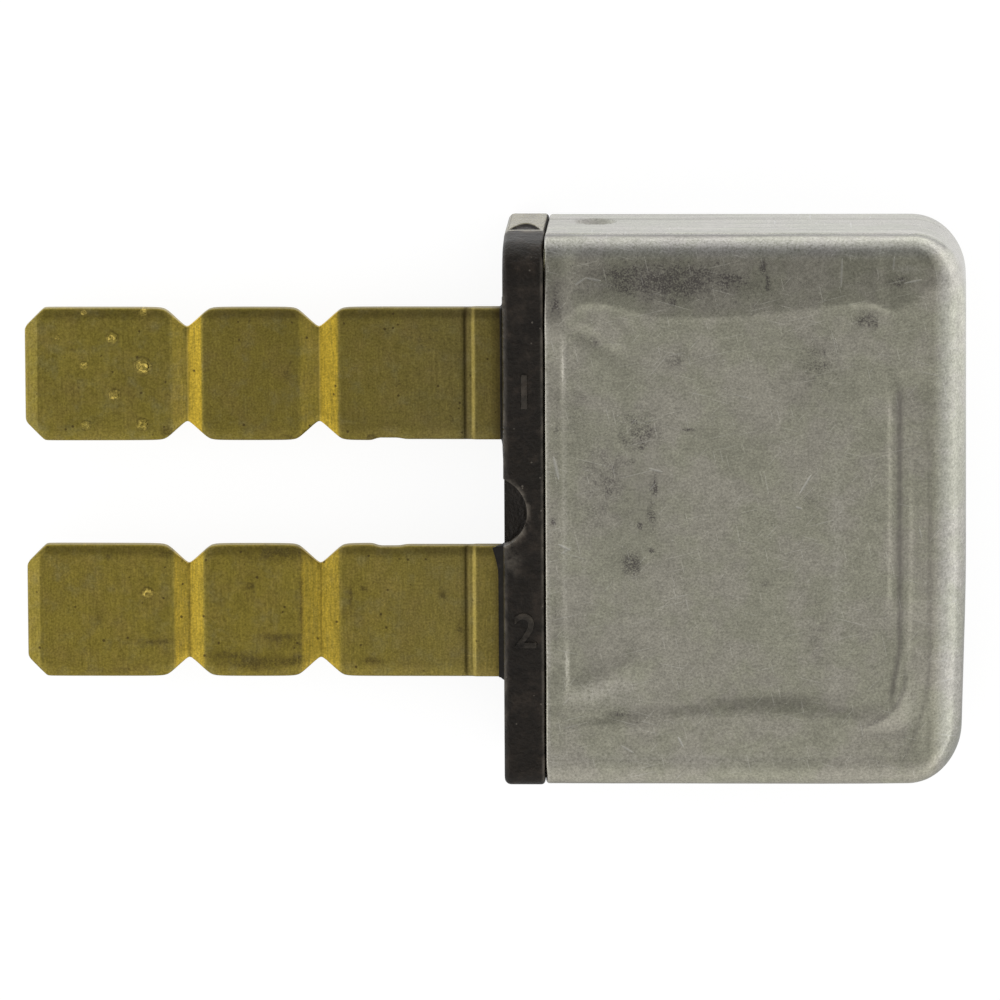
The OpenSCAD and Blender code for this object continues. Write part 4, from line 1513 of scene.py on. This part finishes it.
class BREAKER_OT_blades(bpy.types.Operator):
    """Builds the two stamped brass terminals with their break-off grooves"""
    bl_idname = "breaker.blades"
    bl_label = "Build the blades"

    def execute(self, context):
        settings = context.scene.breaker_blade
        material = brass_finish(settings)
        for side, name, node in (
            (1, "aux_blade", "aux_terminal"), (-1, "bat_blade", "bat_terminal")
        ):
            blade = blade_mesh(name, side, settings)
            press_grooves(blade, side, settings, material)
            if side < 0:
                cut(blade, [round_cutter(
                    CONTACT_X, -CONTACT_Y, BLADE_Z - 1, BLADE_Z + 1, RIVET_HOLE, 48
                )])
            x, y, z = points_mm(blade).T
            grooved = np.zeros(len(x), np.float32)
            blade.data.attributes["grooved"].data.foreach_get("value", grooved)
            roots = [-settings.outer_groove / MM, -settings.inner_groove / MM]
            # The groove flanks that face the soft box take the clean colour as painted light.
            right = sum(
                smoothstep(-0.02, 0.06, x - middle) * (np.abs(x - middle) < 1.5) for middle in roots
            )
            # Along the groove roots: painted glints on the auxiliary blade, painted shade on the
            # battery blade.
            lines = sum(hill(x, middle + 0.02, 0.03) for middle in roots)
            root = x + settings.root / MM
            across = y - side * BLADE_Y
            outer_edge = 2.56
            if side > 0:
                fresh = grooved * (0.15 + 0.8 * right)
                glint = 0.4 * lines
                # The auxiliary blade is darker inside its outer groove.
                grime = 0.2 * smoothstep(-12.1, -11.7, x) * (1 - grooved)
            else:
                fresh = grooved * (0.46 + 0.14 * right) + 0.07
                glint = 0 * lines
                grime = 0.35 * lines
            fresh = fresh + 0.06 * smoothstep(-1.6, -1.0, x)
            # A painted glint along the step at the root.
            glint = glint + 0.14 * hill(root, -0.06, 0.07)
            # Painted shade in the step at the root, darker next to the base, painted shade on the
            # edge faces and along the rolled-over upper edge.
            grime = grime + sum([
                0.45 * hill(root, -0.34, 0.11),
                0.55 * smoothstep(-0.75, -0.25, x) * (x < 0.5),
                0.08 * (np.abs(across) > outer_edge),
                0.22 * window(2.22, 2.5, 0.1, across) * (x < -0.2) * (z > BLADE_Z),
            ])
            stain = ovals(x, y, BLADE_STAINS) * (1 - 0.7 * grooved) * (z > BLADE_Z) + 0.14
            paint(blade, fresh=np.clip(fresh, 0, 1), glint=glint, grime=grime, stain=stain)
            smooth_shading(blade, math.radians(30))
            dress(blade, material, "housing", "terminal", node)
        return {"FINISHED"}


# ---------------------------------------------------------------- the sealing compound

def seal_mesh(side, settings, blade):
    """A closed ring of compound round one blade, uneven, climbing a little up the blade."""
    relief = blade.inner_relief / MM
    half_y, half_z = (blade.width / MM - relief) / 2, STOCK_THICK / 2
    proud, depth = -SEAL_LOW[0], SEAL_HIGH[0]
    proud += settings.lift / MM
    margin, pool = settings.margin / MM, (settings.pool if side > 0 else settings.margin) / MM
    climb = (settings.climb_aux if side > 0 else settings.climb_bat) / MM
    # Share of the margin, height over the seating face, and how far the ring may wander.
    shoulder = proud if side > 0 else 0.5 * proud
    profile = [
        (0.0, -depth, 0.0), (0.0, proud + climb, 0.6), (0.05, proud + climb * 0.55, 0.6),
        (0.14, proud + climb * 0.25, 0.5), (0.28, (proud + shoulder) / 2, 0.5), (0.48, shoulder, 0.6),
        (0.7, shoulder * 0.95, 0.8), (0.88, shoulder * 0.7, 1.0), (0.98, shoulder * 0.35, 1.0),
        (1.03, -0.02, 1.0), (1.0, -0.03, 0.0), (1.0, -depth, 0.0)
    ]
    turn = np.linspace(0, math.tau, 176, endpoint=False)
    rings = []
    for share, height, loose in profile:
        grow = 1 + 0.16 * loose * wobble(turn, 11 + side, 9) * (share > 0.2)
        out, inner_out = margin * share, pool * share
        low, high = -half_y - inner_out, half_y + out
        middle, half = (low + high) / 2, (high - low) / 2
        ring = rounded_outline(
            rectangle(half, half_z + out), [0.03 + out * 0.9] * 4, (12, 60, 12, 60), 8
        )
        ring[:, 0] += middle
        past = np.clip(np.abs(ring) - (half_y, half_z), 0, None) * np.sign(ring)
        ring = ring + past * (grow - 1)[:, None]
        # It climbs most at the battery blade's inner front corner.
        corner = np.exp(-((ring[:, 0] + half_y) / 0.5) ** 2 - ((ring[:, 1] - half_z) / 0.4) ** 2)
        lift = height + 0.05 * loose * wobble(turn, 29 + side, 11) * (height > 0)
        lift = lift + 0.22 * corner * (side < 0) * (share < 0.2) * (height > 0)
        rings.append(np.stack([
            -lift, side * (BLADE_Y + relief / 2 + ring[:, 0]), BLADE_Z + ring[:, 1]
        ], axis=1))
    return loft(f"seal_{'aux' if side > 0 else 'bat'}", rings, closed=True)


class BREAKER_OT_seals(bpy.types.Operator):
    """Builds the sealing compound round both blades"""
    bl_idname = "breaker.seals"
    bl_label = "Build the seals"

    def execute(self, context):
        settings = context.scene.breaker_seal
        material = compound_finish(settings)
        for side in (1, -1):
            seal = seal_mesh(side, settings, context.scene.breaker_blade)
            smooth_shading(seal, math.radians(60))
            dress(seal, material, "housing", "compound", "terminal_seals")
        return {"FINISHED"}


# ---------------------------------------------------------------- the mechanism inside

def bimetal_mesh():
    """The bimetal blade with its snap dish and its hole, in a dense mesh."""
    low, high = BIMETAL_LOW, BIMETAL_HIGH
    thickness = 0.3
    middle_x, half_x = (low[0] + high[0]) / 2, (high[0] - low[0]) / 2
    round_r, dish_r, dish_h = 1.0, 3.0, high[2] - low[2] - thickness
    turn = np.linspace(0, math.pi / 2, 10)
    y = np.unique(np.concatenate([
        low[1] + round_r * (1 - np.cos(turn)), np.linspace(low[1] + round_r, high[1] - round_r, 60),
        high[1] - round_r * (1 - np.cos(turn))
    ]))
    from_end = np.clip(round_r - np.minimum(y - low[1], high[1] - y), 0, round_r)
    half = half_x - (round_r - np.sqrt(np.clip(round_r ** 2 - from_end ** 2, 0, None)))
    across = np.linspace(-1, 1, 41)
    ball = (dish_r ** 2 + dish_h ** 2) / (2 * dish_h)
    rings = []
    for level, order in ((thickness, 1), (0.0, -1)):
        x = half[:, None] * across[None, ::order]
        away2 = x ** 2 + y[:, None] ** 2
        dish = np.sqrt(ball ** 2 - np.minimum(away2, dish_r ** 2)) - (ball - dish_h)
        dish = np.clip(dish, 0, None)
        rings.append(np.stack([middle_x + x, y[:, None] + 0 * x, low[2] + level + dish], axis=2))
    strip = loft("bimetal_strip", np.concatenate(rings, axis=1))
    cut(strip, [round_cutter(CONTACT_X, CONTACT_Y, low[2] - 1, high[2] + 1, RIVET_HOLE, 48)])
    return strip


class BREAKER_OT_mechanism(bpy.types.Operator):
    """Finishes the contacts, the weld slug and the liner, and builds the bimetal blade"""
    bl_idname = "breaker.mechanism"
    bl_label = "Build the mechanism"

    def execute(self, context):
        silver = plain_metal_finish("silver_contact", (0.8, 0.79, 0.76), 0.3, 0.08)
        finishes = {
            "fixed_contact": silver, "moving_contact": silver,
            "weld_slug": plain_metal_finish("plain_steel", (0.5, 0.5, 0.5), 0.35, 0.1),
            "insulating_liner": paper_finish()
        }
        for node, material in finishes.items():
            mesh = frame["nodes"][node].data
            mesh.materials.clear()
            mesh.materials.append(material)
        strip = bimetal_mesh()
        smooth_shading(strip, math.radians(40))
        rolled = plain_metal_finish("rolled_bimetal", (0.56, 0.51, 0.42), 0.32, 0.07)
        strip.data.materials.append(rolled)
        joint = frame["joints"][0]
        start = Vector(joint["pos_m"])
        end = Vector((start.x, MOVING_HIGH[1] * MM, start.z))
        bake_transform(strip)
        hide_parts("bimetal_blade")
        return {"FINISHED"}


# ---------------------------------------------------------------- stage, camera and lights

def room_light(way):
    """Brightness of the room in a direction: dim overhead, bright low at both ends."""
    x, y, _ = split(way)
    room = map_range(y, -0.35, 0.15, 0.44, 0.19)
    for value, sign, gain in ((y, -1.0, 0.1), (x, 1.0, 0.43), (x, -1.0, 0.36)):
        room = room + highest(value * sign, 0.0) * gain
    for value, power, gain in ((y, 6.0, 0.56), (x, 9.0, 0.36)):
        room = scaled(highest(value, 0.0) ** power, gain, room)
    return room


def floor_finish():
    """A white floor: white to the camera, with a soft shadow; to metal it glows, with a painted
    shadow near the object, and dims far off.
    """
    finish = Finish("white_floor")
    finish.feed(Base_Color=(0.97, 0.97, 0.97), Roughness=0.9, Specular_IOR_Level=0.0)
    tree = finish.tree
    middle = (CAD_BOUNDS[0] + CAD_BOUNDS[1]) / 2 / MM
    reach = (CAD_BOUNDS[1] - CAD_BOUNDS[0]) / 2 / MM
    from_middle = vector_math("SUBTRACT", finish.flat_place, (middle.x, middle.y, 0.0))
    way = vector_math("NORMALIZE", from_middle)
    outside = vector_math("SUBTRACT", vector_math("ABSOLUTE", from_middle), (reach.x, reach.y, 0.0))
    outside = vector_math("LENGTH", vector_math("MAXIMUM", outside, (0.0, 0.0, 0.0)))
    x, y, _ = split(way)
    # Painted shadow and painted light of the floor round the object, as metal sees them.
    near = map_range(y, -0.4, 0.4, 0.5, 1.06) + map_range(x, -1.0, 1.0, 0.35, 0.1) * (x * x)
    near = near * map_range(outside, 0.0, 14.0, 0.75, 1.03)
    mirrored = mix_value(map_range(outside, 20.0, 160.0), near, room_light(way))
    paths = tree.nodes.new("ShaderNodeLightPath").outputs
    seen, glossy = [Value(tree, paths[name]) for name in ("Is Camera Ray", "Is Glossy Ray")]
    strength = mix_value(seen, mirrored, 1.05)
    glow = outcome(tree, "ShaderNodeEmission", {"Color": (1, 1, 1), "Strength": strength})
    share = highest(seen * 0.85, glossy)
    lit = Value(tree, finish.shader.outputs[0])
    mixed = outcome(tree, "ShaderNodeMixShader", {0: share, 1: lit, 2: glow})
    tree.links.new(mixed.socket, finish.output.inputs[0])
    finish.material.cycles.emission_sampling = "NONE"
    return finish.material


def light_world():
    """A soft white room, darker straight above so that flat metal stays dull."""
    world = bpy.data.worlds.new("studio")
    bpy.context.scene.world = world
    world.use_nodes = True
    world.cycles.sampling_method = "NONE"
    tree = world.node_tree
    tree.nodes.clear()
    room = room_light(outcome(tree, "ShaderNodeTexCoord", output="Generated"))
    paths = tree.nodes.new("ShaderNodeLightPath").outputs
    seen, glossy = [Value(tree, paths[name]) for name in ("Is Camera Ray", "Is Glossy Ray")]
    strength = mix_value(seen, mix_value(glossy, 1.0, room), 1.0)
    back = outcome(tree, "ShaderNodeBackground", {"Color": (1, 1, 1), "Strength": strength})
    tree.links.new(back.socket, tree.nodes.new("ShaderNodeOutputWorld").inputs[0])


def soft_box(name, place, size, power):
    light = bpy.data.lights.new(name, "AREA")
    light.shape = "RECTANGLE"
    light.size, light.size_y = size
    light.energy = power
    obj = bpy.data.objects.new(name, light)
    obj.location = place
    obj.rotation_euler = (-Vector(place)).to_track_quat("-Z", "Y").to_euler()
    bpy.context.scene.collection.objects.link(obj)


class BREAKER_OT_stage(bpy.types.Operator):
    """Sets up the camera, the floor, the room and the soft box"""
    bl_idname = "breaker.stage"
    bl_label = "Build the stage"

    def execute(self, context):
        settings = context.scene.breaker_stage
        camera = bpy.data.objects.new("camera", bpy.data.cameras.new("camera"))
        context.scene.collection.objects.link(camera)
        context.scene.camera = camera
        middle_x = (CAD_BOUNDS[0][0] + CAD_BOUNDS[1][0]) / 2
        target = Vector((middle_x + 0.00023, -0.0001, 0.0))
        towards = Vector((math.tan(settings.swing), math.tan(settings.elevation), 1.0)).normalized()
        sideways = Vector((0, 1, 0)).cross(towards).normalized()
        upwards = towards.cross(sideways)
        turned = Matrix((sideways, upwards, towards)).transposed()
        turned = turned @ Matrix.Rotation(settings.roll, 3, "Z")
        placed = Matrix.Translation(target + towards * settings.distance)
        camera.matrix_world = placed @ turned.to_4x4()
        camera.data.sensor_width = 36
        camera.data.lens = 36 * settings.distance / settings.view_width
        camera.data.clip_start, camera.data.clip_end = 0.01, 20

        # The back's unevenness stands out by less than 0.04 mm, and rests on the floor.
        floor_z = CAD_BOUNDS[0][2] / MM - 0.04
        corners = [(x, y, floor_z) for x, y in rectangle(900, 900)]
        floor = mesh_object("floor", corners, [(0, 1, 2, 3)])
        floor.data.materials.append(floor_finish())
        floor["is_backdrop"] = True
        light_world()
        soft_box("left_box", (-0.4, 0.03, 0.3), (0.3, 0.36), 0.14)
        context.scene.view_settings.view_transform = "Standard"
        return {"FINISHED"}


# ---------------------------------------------------------------- add-on

class BREAKER_PT_panel(bpy.types.Panel):
    """Lists the breaker's settings and its building steps"""
    bl_idname = "BREAKER_PT_panel"
    bl_label = "Circuit breaker"
    bl_space_type = "VIEW_3D"
    bl_region_type = "UI"
    bl_category = "Breaker"

    def draw(self, context):
        for title, group, operator in STEPS:
            box = self.layout.box()
            box.label(text=title)
            if group:
                settings = getattr(context.scene, group)
                for name in settings.bl_rna.properties.keys():
                    if name not in ("rna_type", "name"):
                        box.prop(settings, name)
            box.operator(operator)


# Title, settings on the scene and operator of each step, in the order in which they run.
STEPS = [
    ("Stage", "breaker_stage", "breaker.stage"),
    ("Can", "breaker_can", "breaker.can"),
    ("Base", "breaker_base", "breaker.base"),
    ("Blades", "breaker_blade", "breaker.blades"),
    ("Seals", "breaker_seal", "breaker.seals"),
    ("Mechanism", None, "breaker.mechanism"),
]

SETTINGS = {
    "breaker_stage": StageSettings, "breaker_can": CanSettings, "breaker_base": BaseSettings,
    "breaker_blade": BladeSettings, "breaker_seal": SealSettings,
}

CLASSES = [
    *SETTINGS.values(), BREAKER_OT_stage, BREAKER_OT_can, BREAKER_OT_base, BREAKER_OT_blades,
    BREAKER_OT_seals, BREAKER_OT_mechanism, BREAKER_PT_panel,
]


def register():
    for kind in CLASSES:
        bpy.utils.register_class(kind)
    for name, kind in SETTINGS.items():
        setattr(bpy.types.Scene, name, PointerProperty(type=kind))


def unregister():
    for name in SETTINGS:
        delattr(bpy.types.Scene, name)
    for kind in reversed(CLASSES):
        bpy.utils.unregister_class(kind)


def main():
    register()
    for _, _, operator in STEPS:
        group, name = operator.split(".")
        getattr(getattr(bpy.ops, group), name)()
    boxes = {"cad": CAD_BOUNDS, "visual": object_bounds()}


if __name__ == "__main__":
    main()
